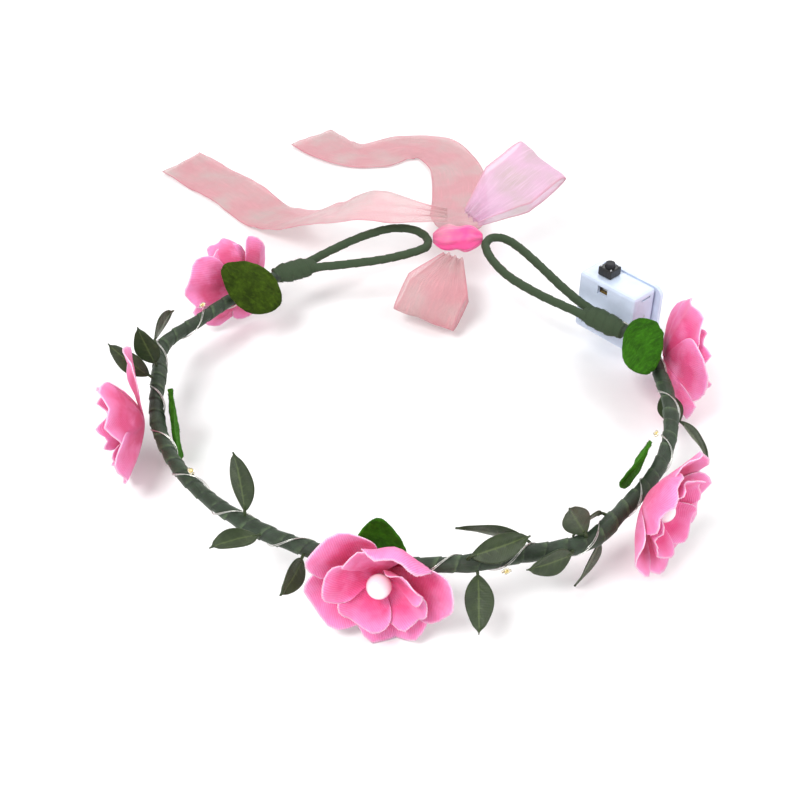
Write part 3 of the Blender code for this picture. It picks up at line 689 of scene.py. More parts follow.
def petal_fabric(name, settings, fade=0.0):
    finish = Finish(name)
    place = finish.flat_place()
    across, along, _ = finish.parts(place)
    share = finish.mark()
    clouds = finish.cloud(finish.object_place(), 140.0, 3.0)
    blotches = finish.cloud(finish.stretched(place, (160.0, 160.0, 1.0)), 1.0, 4.0, 0.6)
    wear_and_highlight = tuple(c * (1 - fade) + w * fade for c, w in zip(settings.colour, paint(205, 92, 128)))
    warm = tuple(c * (1 - fade) + w * fade for c, w in zip(settings.heart, paint(176, 50, 84)))
    body = finish.blend(finish.remap(share, 0.12, 0.62), warm, wear_and_highlight)
    body = finish.blend(finish.remap(blotches, 0.36, 0.66, 0.0, 0.4), body, warm)
    body = finish.blend(finish.remap(clouds, 0.45, 0.72, 0.0, 0.5), body, tuple(settings.rim))
    patches = finish.remap(blotches, 0.25, 0.6, 0.35, 1.0)
    pale = finish.sum("MULTIPLY", finish.remap(share, 0.7, 1.0), patches)
    body = finish.blend(pale, body, tuple(settings.rim))
    body = finish.blend(finish.remap(share, 0.965, 1.0, 0.0, 0.7), body, paint(255, 222, 238))
    ribs = finish.wave(along, settings.rib)
    threads = finish.wave(across, settings.rib * 0.55)
    weave = finish.sum("MULTIPLY_ADD", threads, 0.4, ribs)
    body = finish.blend(finish.remap(ribs, -1.0, 0.4, 0.22, 0.0), body, warm)
    finish.set(Base_Color=body, Roughness=finish.remap(weave, -1.4, 1.4, 0.8, 0.62))
    normal = finish.bump(weave, 0.05 * MM, 0.8)
    fibres = finish.cloud(finish.stretched(place, (2200.0, 5200.0, 1.0)), 1.0)
    normal = finish.bump(fibres, 0.08 * MM, 0.5, normal)
    finish.set(
        Normal=normal, Sheen_Weight=0.35, Sheen_Roughness=0.4, Sheen_Tint=paint(255, 205, 228),
        Subsurface_Weight=0.3, Subsurface_Radius=(1.0, 0.35, 0.5), Subsurface_Scale=0.8 * MM,
        Specular_IOR_Level=0.35,
    )
    return finish.material


def felt(name, colour):
    finish = Finish(name)
    place = finish.object_place()
    matted = finish.cloud(place, 900.0, 5.0, 0.7)
    streaks = finish.cloud(finish.stretched(place, (420.0, 900.0, 420.0)), 1.0, 4.0, 0.6)
    clumps = finish.cloud(place, 210.0, 2.0)
    deep = tuple(value * 0.42 for value in colour)
    light = tuple(min(1.0, value * 1.75) for value in colour)
    shade = finish.blend(finish.remap(clumps, 0.36, 0.66), deep, colour)
    shade = finish.blend(finish.remap(streaks, 0.5, 0.72, 0.0, 0.65), shade, light)
    shade = finish.blend(finish.remap(matted, 0.35, 0.55, 0.5, 0.0), shade, deep)
    finish.set(Base_Color=shade, Roughness=finish.remap(matted, 0.3, 0.7, 0.98, 0.84))
    normal = finish.bump(matted, 0.35 * MM)
    normal = finish.bump(streaks, 0.3 * MM, 0.7, normal)
    finish.set(
        Normal=normal, Sheen_Weight=0.45, Sheen_Roughness=0.6,
        Sheen_Tint=tuple(min(1.0, v * 3) for v in colour),
        Specular_IOR_Level=0.15,
    )
    return finish.material


def satin_leaf(settings):
    finish = Finish("satin_leaf")
    along, across, _ = finish.parts(finish.flat_place())
    vein = finish.mark()
    place = finish.object_place()
    clouds = finish.cloud(place, 260.0, 3.0)
    thread = finish.wave(along, 0.028)
    other = finish.wave(across, 0.03)
    weave = finish.sum("ADD", thread, other)
    shade = finish.blend(
        finish.remap(clouds, 0.38, 0.68), tuple(settings.colour), paint(30, 44, 18)
    )
    shade = finish.blend(finish.remap(clouds, 0.6, 0.8, 0.0, 0.5), shade, paint(74, 92, 40))
    shade = finish.blend(finish.remap(vein, 0.25, 1.0, 0.0, 0.8), shade, tuple(settings.veins))
    shade = finish.blend(finish.remap(weave, -2.0, 0.5, 0.3, 0.0), shade, paint(18, 28, 10))
    finish.set(Base_Color=shade, Roughness=finish.remap(clouds, 0.3, 0.7, 0.36, 0.5))
    normal = finish.bump(weave, 0.02 * MM, 0.6)
    normal = finish.bump(finish.cloud(place, 1400.0), 0.05 * MM, 0.5, normal)
    finish.set(
        Normal=normal, Sheen_Weight=0.3, Sheen_Roughness=0.35, Sheen_Tint=paint(160, 175, 130),
        Specular_IOR_Level=0.45,
    )
    return finish.material


def pearl_lacquer():
    finish = Finish("pearl")
    place = finish.object_place()
    clouds = finish.cloud(place, 500.0, 3.0)
    facing = finish.node("ShaderNodeLayerWeight", {"Blend": 0.35}).outputs["Facing"]
    shade = finish.blend(
        finish.remap(clouds, 0.35, 0.7), paint(246, 240, 236), paint(236, 232, 240)
    )
    # Painted sheen: the pearl turns pinker where its surface turns away from the view.
    shade = finish.blend(finish.remap(facing, 0.3, 1.0, 0.0, 0.6), shade, paint(240, 208, 222))
    finish.set(
        Base_Color=shade, Roughness=finish.remap(clouds, 0.3, 0.7, 0.12, 0.2), Coat_Weight=1.0,
        Coat_Roughness=0.05, Specular_IOR_Level=0.7, Sheen_Weight=0.3, Sheen_Roughness=0.3,
        Normal=finish.bump(finish.cloud(place, 1600.0), 0.01 * MM, 0.4),
    )
    return finish.material


def bare_metal(name, colour, roughness, grain=(900.0, 900.0, 5200.0)):
    finish = Finish(name)
    place = finish.object_place()
    marks = finish.cloud(finish.stretched(place, grain), 1.0, 4.0, 0.7)
    spots = finish.cloud(place, 700.0, 3.0)
    dull = tuple(value * 0.62 for value in colour)
    shade = finish.blend(finish.remap(spots, 0.45, 0.75, 0.0, 0.7), tuple(colour), dull)
    finish.set(
        Base_Color=shade, Metallic=1.0,
        Roughness=finish.remap(marks, 0.3, 0.7, roughness * 0.7, roughness * 1.5),
        Normal=finish.bump(marks, 0.02 * MM, 0.6),
    )
    return finish.material


def clear_resin():
    finish = Finish("led_resin")
    place = finish.object_place()
    waves = finish.cloud(place, 900.0, 2.0)
    finish.set(
        Base_Color=finish.blend(
            finish.remap(waves, 0.3, 0.7), paint(255, 246, 214), paint(255, 252, 236)
        ),
        Roughness=finish.remap(waves, 0.3, 0.7, 0.04, 0.12), Transmission_Weight=0.85, IOR=1.5,
        Normal=finish.bump(waves, 0.1 * MM, 0.5),
    )
    return finish.material


def moulded_plastic(name, colour, roughness, texture):
    finish = Finish(name)
    place = finish.object_place()
    spark = finish.cloud(place, 5200.0, 3.0, 0.6)
    clouds = finish.cloud(place, 180.0, 3.0)
    scuffs = finish.cloud(finish.stretched(place, (240.0, 1900.0, 900.0)), 1.0, 5.0, 0.75)
    shade = finish.blend(
        finish.remap(clouds, 0.35, 0.7), tuple(colour), tuple(v * 0.9 for v in colour)
    )
    wear_and_highlight = tuple(v * 0.6 + 0.08 for v in colour)
    shade = finish.blend(finish.remap(scuffs, 0.66, 0.76, 0.0, 0.5), shade, wear_and_highlight)
    finish.set(
        Base_Color=shade, Roughness=finish.remap(scuffs, 0.4, 0.75, roughness, roughness * 1.5),
        Specular_IOR_Level=0.5,
    )
    normal = finish.bump(spark, texture)
    finish.set(Normal=finish.bump(scuffs, 0.05 * MM, 0.25, normal))
    return finish.material


def solder_mask():
    finish = Finish("circuit_board")
    place = finish.object_place()
    _, _, height = finish.parts(place)
    tracks = finish.remap(finish.wave(height, 1.6 * MM), 0.55, 0.7)
    glass = finish.cloud(place, 2600.0, 2.0)
    shade = finish.blend(finish.remap(glass, 0.3, 0.7), paint(14, 92, 46), paint(20, 112, 58))
    shade = finish.blend(finish.sum("MULTIPLY", tracks, 0.7), shade, paint(60, 150, 90))
    finish.set(
        Base_Color=shade, Roughness=finish.remap(glass, 0.3, 0.7, 0.28, 0.4), Coat_Weight=0.4
    )
    finish.set(Normal=finish.bump(tracks, 0.04 * MM))
    return finish.material


def organza(name, colour, cover, glint_strength=0.0):
    finish = Finish(name)
    along, across, _ = finish.parts(finish.flat_place())
    edge = finish.mark()
    place = finish.object_place()
    clouds = finish.cloud(place, 55.0, 3.0)
    threads = finish.sum("ADD", finish.wave(along, 0.5 * MM), finish.wave(across, 0.5 * MM))
    slub = finish.cloud(finish.stretched(finish.flat_place(), (90.0, 1500.0, 1.0)), 1.0, 3.0)
    # Painted sheen: greyish clouds across the ribbon stand for its satin sheen.
    painted_sheen_grey = paint(198, 180, 176)
    shade = finish.blend(finish.remap(clouds, 0.42, 0.66, 0.0, 0.75), tuple(colour), painted_sheen_grey)
    bright = tuple(min(1.0, v * 1.35) for v in colour)
    shade = finish.blend(finish.remap(slub, 0.5, 0.75, 0.0, 0.6), shade, bright)
    shade = finish.blend(finish.remap(edge, 0.9, 1.0, 0.0, 0.6), shade, paint(232, 150, 166))
    shine = finish.cells(place, 1500.0)
    # Painted glints: white specks, in patches, stand for light glinting off the ribbon.
    if glint_strength:
        sparks = finish.remap(shine, 0.0, 0.16, glint_strength, 0.0)
        patch = finish.remap(finish.cloud(place, 120.0), 0.45, 0.6)
        shade = finish.blend(finish.sum("MULTIPLY", sparks, patch), shade, (1.0, 0.98, 0.98))
    facing = finish.node("ShaderNodeLayerWeight", {"Blend": 0.3}).outputs["Facing"]
    hidden = finish.sum("MULTIPLY_ADD", threads, 0.05, cover)
    hidden = finish.sum("MULTIPLY_ADD", finish.remap(edge, 0.88, 1.0), 0.2, hidden)
    hidden = finish.sum("MULTIPLY_ADD", facing, 0.35, hidden)
    finish.set(Base_Color=shade, Alpha=hidden, Roughness=finish.remap(slub, 0.3, 0.7, 0.4, 0.55))
    normal = finish.bump(threads, 0.03 * MM, 0.7)
    finish.set(
        Normal=finish.bump(slub, 0.12 * MM, 0.5, normal), Sheen_Weight=0.5, Sheen_Roughness=0.35,
        Sheen_Tint=paint(255, 225, 232), Specular_IOR_Level=0.4,
    )
    return finish.material


# ---------------------------------------------------------------- tape

def wound_tube(name, stations, oval, pitch, ridge, sides, seed):
    """Overlapping turns of tape round a line; oval gives the two half widths at a row."""
    draft = Draft()
    reached = [0.0]
    for start, end in zip(stations, stations[1:]):
        reached.append(reached[-1] + (end[0] - start[0]).length)

    def lap_at(i, j):
        wander = 0.25 * noise.noise(Vector((reached[i] * 60, 0.0, seed)))
        return (reached[i] / pitch + wander - j / sides) % 1.0

    def place_at(i, j):
        middle, side, up = stations[i]
        wide, tall = oval(i)
        turn = FULL_TURN * j / sides
        around = side * math.cos(turn) + up * math.sin(turn)
        lump = noise.noise(middle * 260 + around * 0.9 + Vector((seed, 0, 0)))
        relief = ridge * (lap_at(i, j) + 0.55 * lump)
        aside = side * math.cos(turn) * (wide + relief)
        return middle + aside + up * math.sin(turn) * (tall + relief)

    radius = oval(len(stations) // 2)[0]
    draft.grid(
        len(stations) - 1, sides, place_at,
        lambda i, j: (reached[i], radius * FULL_TURN * j / sides), lap_at, around=True,
    )
    return draft.piece(name, outward=True)


def band_stations(steps):
    stations = []
    for i in range(steps + 1):
        angle = BAND_START + (BAND_END - BAND_START) * i / steps
        stations.append((band_point(angle), band_axes(angle)[1], UP))
    return stations


class CROWN_OT_tape(bpy.types.Operator):
    """Wind the crepe tape round the band, thicker where leaves and flowers are tied in"""
    bl_idname = "crown.wind_tape"
    bl_label = "Taped Band"
    bl_options = OPTIONS

    def execute(self, context):
        settings = context.scene.crown_tape
        steps = 1150
        tied = [leaf[0] for leaf in LEAVES] + [flower[0] for flower in FLOWERS]

        def oval(i):
            angle = BAND_START + (BAND_END - BAND_START) * i / steps
            swell = 0.0
            for place in tied:
                away = (angle - place + 180.0) % 360.0 - 180.0
                swell += math.exp(-(away / 2.6) ** 2)
            radius = settings.radius + 0.32 * MM * min(swell, 1.4)
            return radius, radius * 0.97

        tape = wound_tube(
            "band_tape", band_stations(steps), oval, settings.pitch, settings.ridge, 22, 3.0
        )
        hand_over(tape, crepe_tape(settings), "stem_tape", "band_wrap")
        return {"FINISHED"}


class CROWN_OT_end_loops(bpy.types.Operator):
    """Wind the two wire end loops with the same crepe tape"""
    bl_idname = "crown.wind_end_loops"
    bl_label = "End Loops"
    bl_options = OPTIONS

    def execute(self, context):
        settings = context.scene.crown_tape
        tape = bpy.data.materials["stem_tape"]
        ends = (("left", BAND_START, -1.0, LEFT_LOOP), ("right", BAND_END, 1.0, RIGHT_LOOP))
        for seed, (side, angle, onward, outline) in enumerate(ends):
            route = loop_route(end_axes(angle, onward), outline)
            stations = stations_along(resample(route, 0.4 * MM), UP)
            loop = wound_tube(
                f"{side}_taped_loop", stations, lambda i: (settings.loop_radius,) * 2,
                settings.pitch * 0.75, settings.ridge * 0.55, 16, 11.0 + seed,
            )
            hand_over(loop, tape, "stem_tape", f"{side}_end_loop")
        return {"FINISHED"}


class CROWN_OT_bindings(bpy.types.Operator):
    """Bind each end loop to the band with a fuzzy sleeve of tape"""
    bl_idname = "crown.wind_bindings"
    bl_label = "Bindings"
    bl_options = OPTIONS

    def execute(self, context):
        settings = context.scene.crown_tape
        tape = bpy.data.materials["stem_tape"]
        chance = random.Random(21)
        ends = (("left", BAND_START, -1.0), ("right", BAND_END, 1.0))
        for seed, (side, angle, onward) in enumerate(ends):
            place = end_axes(angle, onward)
            route = [place @ Vector((x * 0.25 * MM, 0.0, 0.0)) for x in range(-32, 37)]
            stations = stations_along(route, place.to_3x3() @ Vector((0.0, 1.0, 0.0)))
            last = len(stations) - 1

            def oval(i):
                share = i / last
                full = smooth_step(0.0, 0.3, share) * smooth_step(1.0, 0.7, share)
                wide = (2.5 + 1.1 * share) * (1.0 - full) + 4.15 * full
                tall = (2.5 - 0.65 * share) * (1.0 - full) + 3.3 * full
                return wide * MM, tall * MM

            sleeve = wound_tube(
                f"{side}_binding_tape", stations, oval, settings.pitch * 0.62, settings.ridge * 1.3,
                26, 31.0 + seed,
            )
            fuzz = Draft()
            for _ in range(420):
                vertex = chance.choice(sleeve.data.vertices)
                away = vertex.normal + Vector([chance.uniform(-0.9, 0.9) for _ in range(3)])
                fuzz.thread(vertex.co, away, chance.uniform(0.3, 1.0) * MM, 0.035 * MM, 0.9)
            join(sleeve, fuzz.piece("fuzz"))
            hand_over(sleeve, tape, "stem_tape", f"{side}_loop_binding")
        return {"FINISHED"}


# ---------------------------------------------------------------- flowers

# For each flower: how deep it cups, how crumpled it is, its size, how faded it is, and
# what sets single petals of a layer apart, as (layer, petal, lean, curl, length)
FLOWER_SHAPES = (
    (1.15, 2.4, 0.94, 0.55, (("outer", 1, 0.3, 0.5, 0.92), ("outer", 3, -0.1, -0.6, 0.95))),
    (1.5, 1.2, 1.0, 0.35, (("outer", 3, -0.5, 0.0, 1.04), ("inner", 1, 0.2, 0.4, 1.0))),
    (0.9, 1.0, 1.02, 0.0, (("outer", 2, 0.15, 1.5, 1.02), ("inner", 1, 0.25, -0.6, 1.0))),
    (1.35, 0.8, 1.0, 0.0, (("outer", 1, 0.1, 0.7, 1.0),)),
    (1.0, 1.3, 1.0, 0.0, (("outer", 2, 0.0, -0.7, 1.0), ("inner", 3, 0.2, 0.5, 1.0))),
)
PETAL_ROWS = 18
PETAL_COLUMNS = 16


def petal_shape(radius, cup, petal, settings, crumple, chance, own):
    """Makers of the shaped place and the flat place of a petal's grid corners."""
    lean, curl, reach = own
    heading = FULL_TURN * petal / PETALS
    half = math.pi / PETALS + settings.overlap * chance.uniform(0.8, 1.15)
    phase = chance.uniform(0.0, FULL_TURN)
    waves = chance.choice((1.5, 2.0, 2.5))
    lean += chance.uniform(-0.08, 0.08)
    curl += chance.uniform(-0.25, 0.35)
    seed = Vector((chance.uniform(0, 50), 0.0, 0.0))
    spoon = chance.uniform(0.9, 1.9) * MM

    def flat_at(i, j):
        u = math.sin(math.pi / 2 * (2 * j / PETAL_COLUMNS - 1))
        lobe = (1 - abs(u) ** 2.6) ** 0.55
        rim = radius * reach * (PETAL_NOTCH + 0.04 + (0.96 - PETAL_NOTCH) * lobe)
        rim *= 1.0 + 0.02 * noise.noise(Vector((u * 5, phase, 0)))
        return u, (0.03 + 0.97 * i / PETAL_ROWS) * rim

    def flat_place(i, j):
        u, out = flat_at(i, j)
        turned = heading + u * half
        return out * math.cos(turned), out * math.sin(turned)

    def place_at(i, j):
        u, out = flat_at(i, j)
        steps = 12
        rise = run = 0.0
        for step in range(steps):
            at = out * (step + 0.5) / steps
            share = at / (radius * reach)
            rolled = smooth_step(0.62, 1.05, share)
            slope = math.atan(cup * share ** 0.6) + lean * min(1.0, share * 3) + curl * rolled
            rise += math.sin(slope) * out / steps
            run += math.cos(slope) * out / steps
        share = out / radius
        rise += spoon * u * u * share
        rise += 0.7 * MM * u * min(1.0, share * 1.6)
        rise += settings.ruffle * share ** 2.5 * math.sin(waves * math.pi * u + phase)
        spot = Vector(flat_place(i, j)).to_3d()
        rough = noise.noise(spot * 95 + seed) + 0.5 * noise.noise(spot * 210 + seed)
        rise += 0.75 * MM * crumple * share ** 1.5 * rough
        drift = 0.6 * MM * crumple * share ** 2 * noise.noise(spot * 80 - seed)
        turned = heading + u * half + drift / max(out, 4 * MM)
        return Vector((math.cos(turned) * run, math.sin(turned) * run, rise))

    return place_at, flat_place


def petal_layer(name, place, radius, cup, settings, crumple, seed, owns):
    """Five overlapping petals with loose threads along their cut edges."""
    chance = random.Random(seed)
    cloth = Draft()
    rims = []
    for petal in range(PETALS):
        place_at, flat_place = petal_shape(
            radius, cup, petal, settings, crumple, chance, owns.get(petal, (0.0, 0.0, 1.0))
        )
        cloth.grid(
            PETAL_ROWS, PETAL_COLUMNS, place_at, flat_place,
            lambda i, j: i / PETAL_ROWS,
        )
        for j in range(PETAL_COLUMNS):
            corners = ((PETAL_ROWS, j), (PETAL_ROWS, j + 1), (PETAL_ROWS - 1, j))
            rims.append([place_at(*corner) for corner in corners])
    layer = cloth.piece(name)
    thicken(layer, settings.thickness)
    fringe = Draft()
    for left, right, inner in rims:
        for _ in range(chance.randint(1, 6)):
            base = left.lerp(right, chance.random())
            stray = Vector([chance.uniform(-0.5, 0.5) for _ in range(3)])
            away = (left - inner).normalized() + stray
            fringe.thread(base, away, chance.uniform(0.15, 0.7) * MM, 0.045 * MM, 1.0)
    join(layer, fringe.piece("fringe"))
    layer.data.transform(place)
    return layer, cloth.flat_area()


class CROWN_OT_flowers(bpy.types.Operator):
    """Cut, cup and crumple the two petal layers of each flower"""
    bl_idname = "crown.make_flowers"
    bl_label = "Petals"
    bl_options = OPTIONS

    def execute(self, context):
        settings = context.scene.crown_petals
        half_turn = Matrix.Rotation(math.pi / PETALS, 4, "Z")
        for number, (spot, shape) in enumerate(zip(FLOWERS, FLOWER_SHAPES), start=1):
            cup, crumple, size, fade, owns = shape
            place = flower_place(*spot)
            raised = place @ Matrix.Translation((0, 0, LAYER_RISE)) @ half_turn
            fabric = petal_fabric(f"petal_fabric_{number}", settings, fade)
            layers = (("outer", place, OUTER_RADIUS, 0.62), ("inner", raised, INNER_RADIUS, 0.95))
            for layer, where, radius, slope in layers:
                own = {petal: tuple(rest) for kind, petal, *rest in owns if kind == layer}
                reach = radius * size * 1.03
                petals, area = petal_layer(
                    f"flower_{number}_{layer}_cloth", where, reach, slope * cup,
                    settings, crumple, 100 * number + len(layer) * 7, own,
                )
                hand_over(petals, fabric, "petal_fabric", f"flower_{number}_{layer}_petals")
        return {"FINISHED"}


class CROWN_OT_pearls(bpy.types.Operator):
    """Turn one half-drilled pearl and set a copy in each flower"""
    bl_idname = "crown.set_pearls"
    bl_label = "Pearls"
    bl_options = OPTIONS

    def execute(self, context):
        radius = context.scene.crown_petals.pearl / 2
        lacquer = pearl_lacquer()
        model = start_by_hand(
            bpy.ops.mesh.primitive_uv_sphere_add, "pearl_model",
            segments=40, ring_count=28, radius=radius,
        )
        edit_faces(model, lambda middle, normal: normal.z < -0.97)
        bpy.ops.mesh.extrude_region_move(TRANSFORM_OT_translate={"value": (0, 0, radius * 0.9)})
        bpy.ops.mesh.select_all(action="SELECT")
        bpy.ops.mesh.normals_make_consistent(inside=False)
        put_down()
        model.data.shade_smooth()
        settle(model, Matrix.Identity(4))
        for number, spot in enumerate(FLOWERS, start=1):
            node = f"flower_{number}_pearl"
            low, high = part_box(node)
            turn = flower_place(*spot).to_3x3().to_4x4()
            pearl = copy_of(model, f"flower_{number}_bead")
            pearl.data.transform(Matrix.Translation((low + high) / 2) @ turn)
            hand_over(pearl, lacquer, "pearl", node)
        bpy.data.objects.remove(model)
        return {"FINISHED"}


# ---------------------------------------------------------------- leaves

def leaf_half(t, width, point):
    return width / 2 * (0.12 + 0.88 * math.sin(math.pi * min(t, 1.0) ** 0.85) ** point)


def felt_place(angle, tilt, shift, heading, length, width):
    along = band_axes(angle)[0]
    face = side_vector(angle, 180.0 - tilt)
    up_face = along.cross(face)
    turned = math.radians(heading)
    direction = along * math.cos(turned) + up_face * math.sin(turned)
    reach = length * MM * math.cos(turned) / 2
    sag = reach * reach / (2 * band_radius(angle))
    standoff = ATTACH_RADIUS + FELT_THICKNESS + sag
    centre = band_point(angle) + face * standoff + up_face * shift * MM
    offset = Matrix.Translation((-length * MM / 2, 0, FELT_BOW))
    return axes_matrix(centre, direction, face) @ offset


class CROWN_OT_felt_leaves(bpy.types.Operator):
    """Cut the thick felt leaves that back the flowers"""
    bl_idname = "crown.cut_felt_leaves"
    bl_label = "Felt Leaves"
    bl_options = OPTIONS

    def execute(self, context):
        settings = context.scene.crown_leaves
        green = felt("felt", tuple(settings.felt))
        olive = felt("olive_felt", tuple(settings.olive))
        columns, rows = 16, 30
        for number, shape in enumerate(FELT_LEAVES, start=1):
            length, width = shape[4] * MM, shape[5] * MM
            chance = random.Random(40 + number)
            seed = Vector((number * 7.3, 0, 0))

            def flat_place(i, j):
                t = i / rows
                side = 2 * j / columns - 1
                half = leaf_half(t, width, 0.75)
                half *= 1.0 + 0.05 * noise.noise(Vector((t * 9, side * 2, number)))
                return length * t, side * half

            def place_at(i, j):
                out, aside = flat_place(i, j)
                side = 2 * j / columns - 1
                bow = -FELT_BOW * abs(side) * leaf_half(out / length, width, 0.75) * 2 / width
                spot = Vector((out, aside, 0.0))
                rough = noise.noise(spot * 160 + seed) * 0.5 + noise.noise(spot * 420 + seed) * 0.25
                return Vector((out, aside, bow + rough * MM))

            leaf = Draft()
            leaf.grid(rows, columns, place_at, flat_place, lambda i, j: abs(2 * j / columns - 1))
            piece = leaf.piece(f"flower_{number}_felt_backing")
            thicken(piece, FELT_THICKNESS)
            fuzz = Draft()
            for _ in range(900):
                vertex = chance.choice(piece.data.vertices)
                away = vertex.normal * 0.7 + Vector([chance.uniform(-1, 1) for _ in range(3)])
                fuzz.thread(vertex.co, away, chance.uniform(0.2, 0.6) * MM, 0.03 * MM, 0.5)
            join(piece, fuzz.piece("fuzz"))
            piece.data.transform(felt_place(*shape))
            hand_over(piece, olive if number == 1 else green, "felt", f"flower_{number}_felt_leaf")
            leaf.flat_area()
        return {"FINISHED"}


def leaf_place(angle, side, lean, roll, length):
    along = band_axes(angle)[0]
    off = side_vector(angle, side)
    turned = math.radians(lean)
    direction = along * math.cos(turned) + off * math.sin(turned)
    top = off * -math.cos(turned) + along * math.sin(turned)
    if turned > math.pi / 2 or top.dot(off) > 0:
        top = top if top.dot(off) > 0 else -top
    base = band_point(angle) + off * (ATTACH_RADIUS + LEAF_BASE)
    return axes_matrix(base, direction, top) @ Matrix.Rotation(math.radians(roll), 4, "X")


class CROWN_OT_satin_leaves(bpy.types.Operator):
    """Press the veined satin leaves and tie each stem into the tape"""
    bl_idname = "crown.press_satin_leaves"
    bl_label = "Satin Leaves"
    bl_options = OPTIONS

    def execute(self, context):
        settings = context.scene.crown_leaves
        green = satin_leaf(settings)
        columns, rows = 16, 44
        for number, shape in enumerate(LEAVES, start=1):
            length = shape[4] * MM
            chance = random.Random(70 + number)
            twist = chance.uniform(-0.25, 0.25)
            curl = chance.uniform(0.7, 1.3)
            seed = Vector((number * 3.1, 0, 0))

            def vein_at(i, j):
                t = i / rows
                side = abs(2 * j / columns - 1)
                rib = max(0.0, 1.0 - side / 0.14)
                branch = (t * 6.5 - side * 1.1) % 1.0
                return max(rib, max(0.0, 1.0 - abs(branch - 0.5) / 0.2) * (1.0 - side) * 0.75)

            def flat_place(i, j):
                t = i / rows
                half = leaf_half(t, LEAF_WIDTH, 1.0) * (1.0 - 0.85 * smooth_step(0.86, 1.0, t))
                return t, (2 * j / columns - 1) * half / LEAF_WIDTH

            def place_at(i, j):
                t = i / rows
                share = 2 * j / columns - 1
                aside = flat_place(i, j)[1] * LEAF_WIDTH
                half = leaf_half(t, LEAF_WIDTH, 1.0)
                rise = LEAF_FOLD * abs(share) * half * 2 / LEAF_WIDTH - LEAF_DROOP * curl * t * t
                rise += settings.vein * vein_at(i, j)
                rise += 0.5 * MM * t * noise.noise(Vector((t * 3, share * 1.5, 0)) + seed)
                turned = twist * t
                return Vector((
                    length * t, aside * math.cos(turned), rise + aside * math.sin(turned)
                ))

            blade = Draft()
            blade.grid(rows, columns, place_at, flat_place, vein_at)
            leaf = blade.piece(f"satin_leaf_{number:02d}")
            thicken(leaf, settings.thickness)
            place = leaf_place(*shape)
            angle, _, lean = shape[:3]
            back = band_axes(angle)[0] * 2.5 * MM * math.cos(math.radians(lean))
            inner = place.inverted() @ (band_point(angle) - back)
            bend = ((1.5 * MM, 0, 0), (-0.4 * MM, 0, -0.1 * MM), inner * 0.6, inner)
            route = resample(smooth_route(bend), 0.4 * MM)
            stations = stations_along(route)

            def stem_at(i, j):
                middle, side, up = stations[i]
                turn = FULL_TURN * j / STEM_SIDES
                around = side * math.cos(turn) + up * math.sin(turn)
                return middle + around * (0.4 + 0.25 * i / len(stations)) * MM

            stem = Draft()
            stem.grid(
                len(stations) - 1, STEM_SIDES, stem_at,
                lambda i, j: (0.02 * i, 0.05 * j), lambda i, j: 0.3, around=True,
            )
            join(leaf, stem.piece("stem", outward=True))
            leaf.data.transform(place)
            hand_over(leaf, green, "satin_leaf", f"leaf_{number:02d}")
        return {"FINISHED"}


# ---------------------------------------------------------------- lights

class CROWN_OT_light_wire(bpy.types.Operator):
    """Wind the two-strand light wire round the band and across to the battery case"""
    bl_idname = "crown.wind_light_wire"
    bl_label = "Light Wire"
    bl_options = OPTIONS

    def execute(self, context):
        settings = context.scene.crown_lights
        start = BAND_START + LEAD_MARGIN
        reach = LEAD_EXIT - start
        count = 620
        route = [lead_point(start + reach * i / count, settings.coil) for i in range(count + 1)]
        place = case_place()
        clear = HALF_LENGTH + 0.85 * MM
        spots = [
            place @ Vector((clear + past * MM, CASE_DEPTH * out, up * MM))
            for past, out, up in ((2.5, 0.0, 1.0), (1.6, 0.25, 2.4), (-0.3, 0.5, 3.0))
        ]
        route += smooth_route([route[-1], *spots], 10)[1:]
        stations = stations_along(route)
        strands = Draft()
        for strand in (0, 1):
            def place_at(i, j):
                middle, side, up = stations[i]
                turn = 0.11 * i + math.pi * strand
                wander = noise.noise(Vector((i * 0.05, strand * 9.0, 0)))
                loose = settings.spacing * (1.0 + 0.5 * wander)
                middle = middle + (side * math.cos(turn) + up * math.sin(turn)) * loose
                around = FULL_TURN * j / 6
                return middle + (side * math.cos(around) + up * math.sin(around)) * settings.strand

            strands.grid(
                len(stations) - 1, 6, place_at,
                lambda i, j: (i * 0.01, j / 6), lambda i, j: float(strand),
                around=True,
            )
        wire = strands.piece("light_wire_pair", outward=True)
        silver = bare_metal("light_lead", tuple(settings.silver), 0.3)
        hand_over(wire, silver, "light_lead", "light_wire")
        return {"FINISHED"}


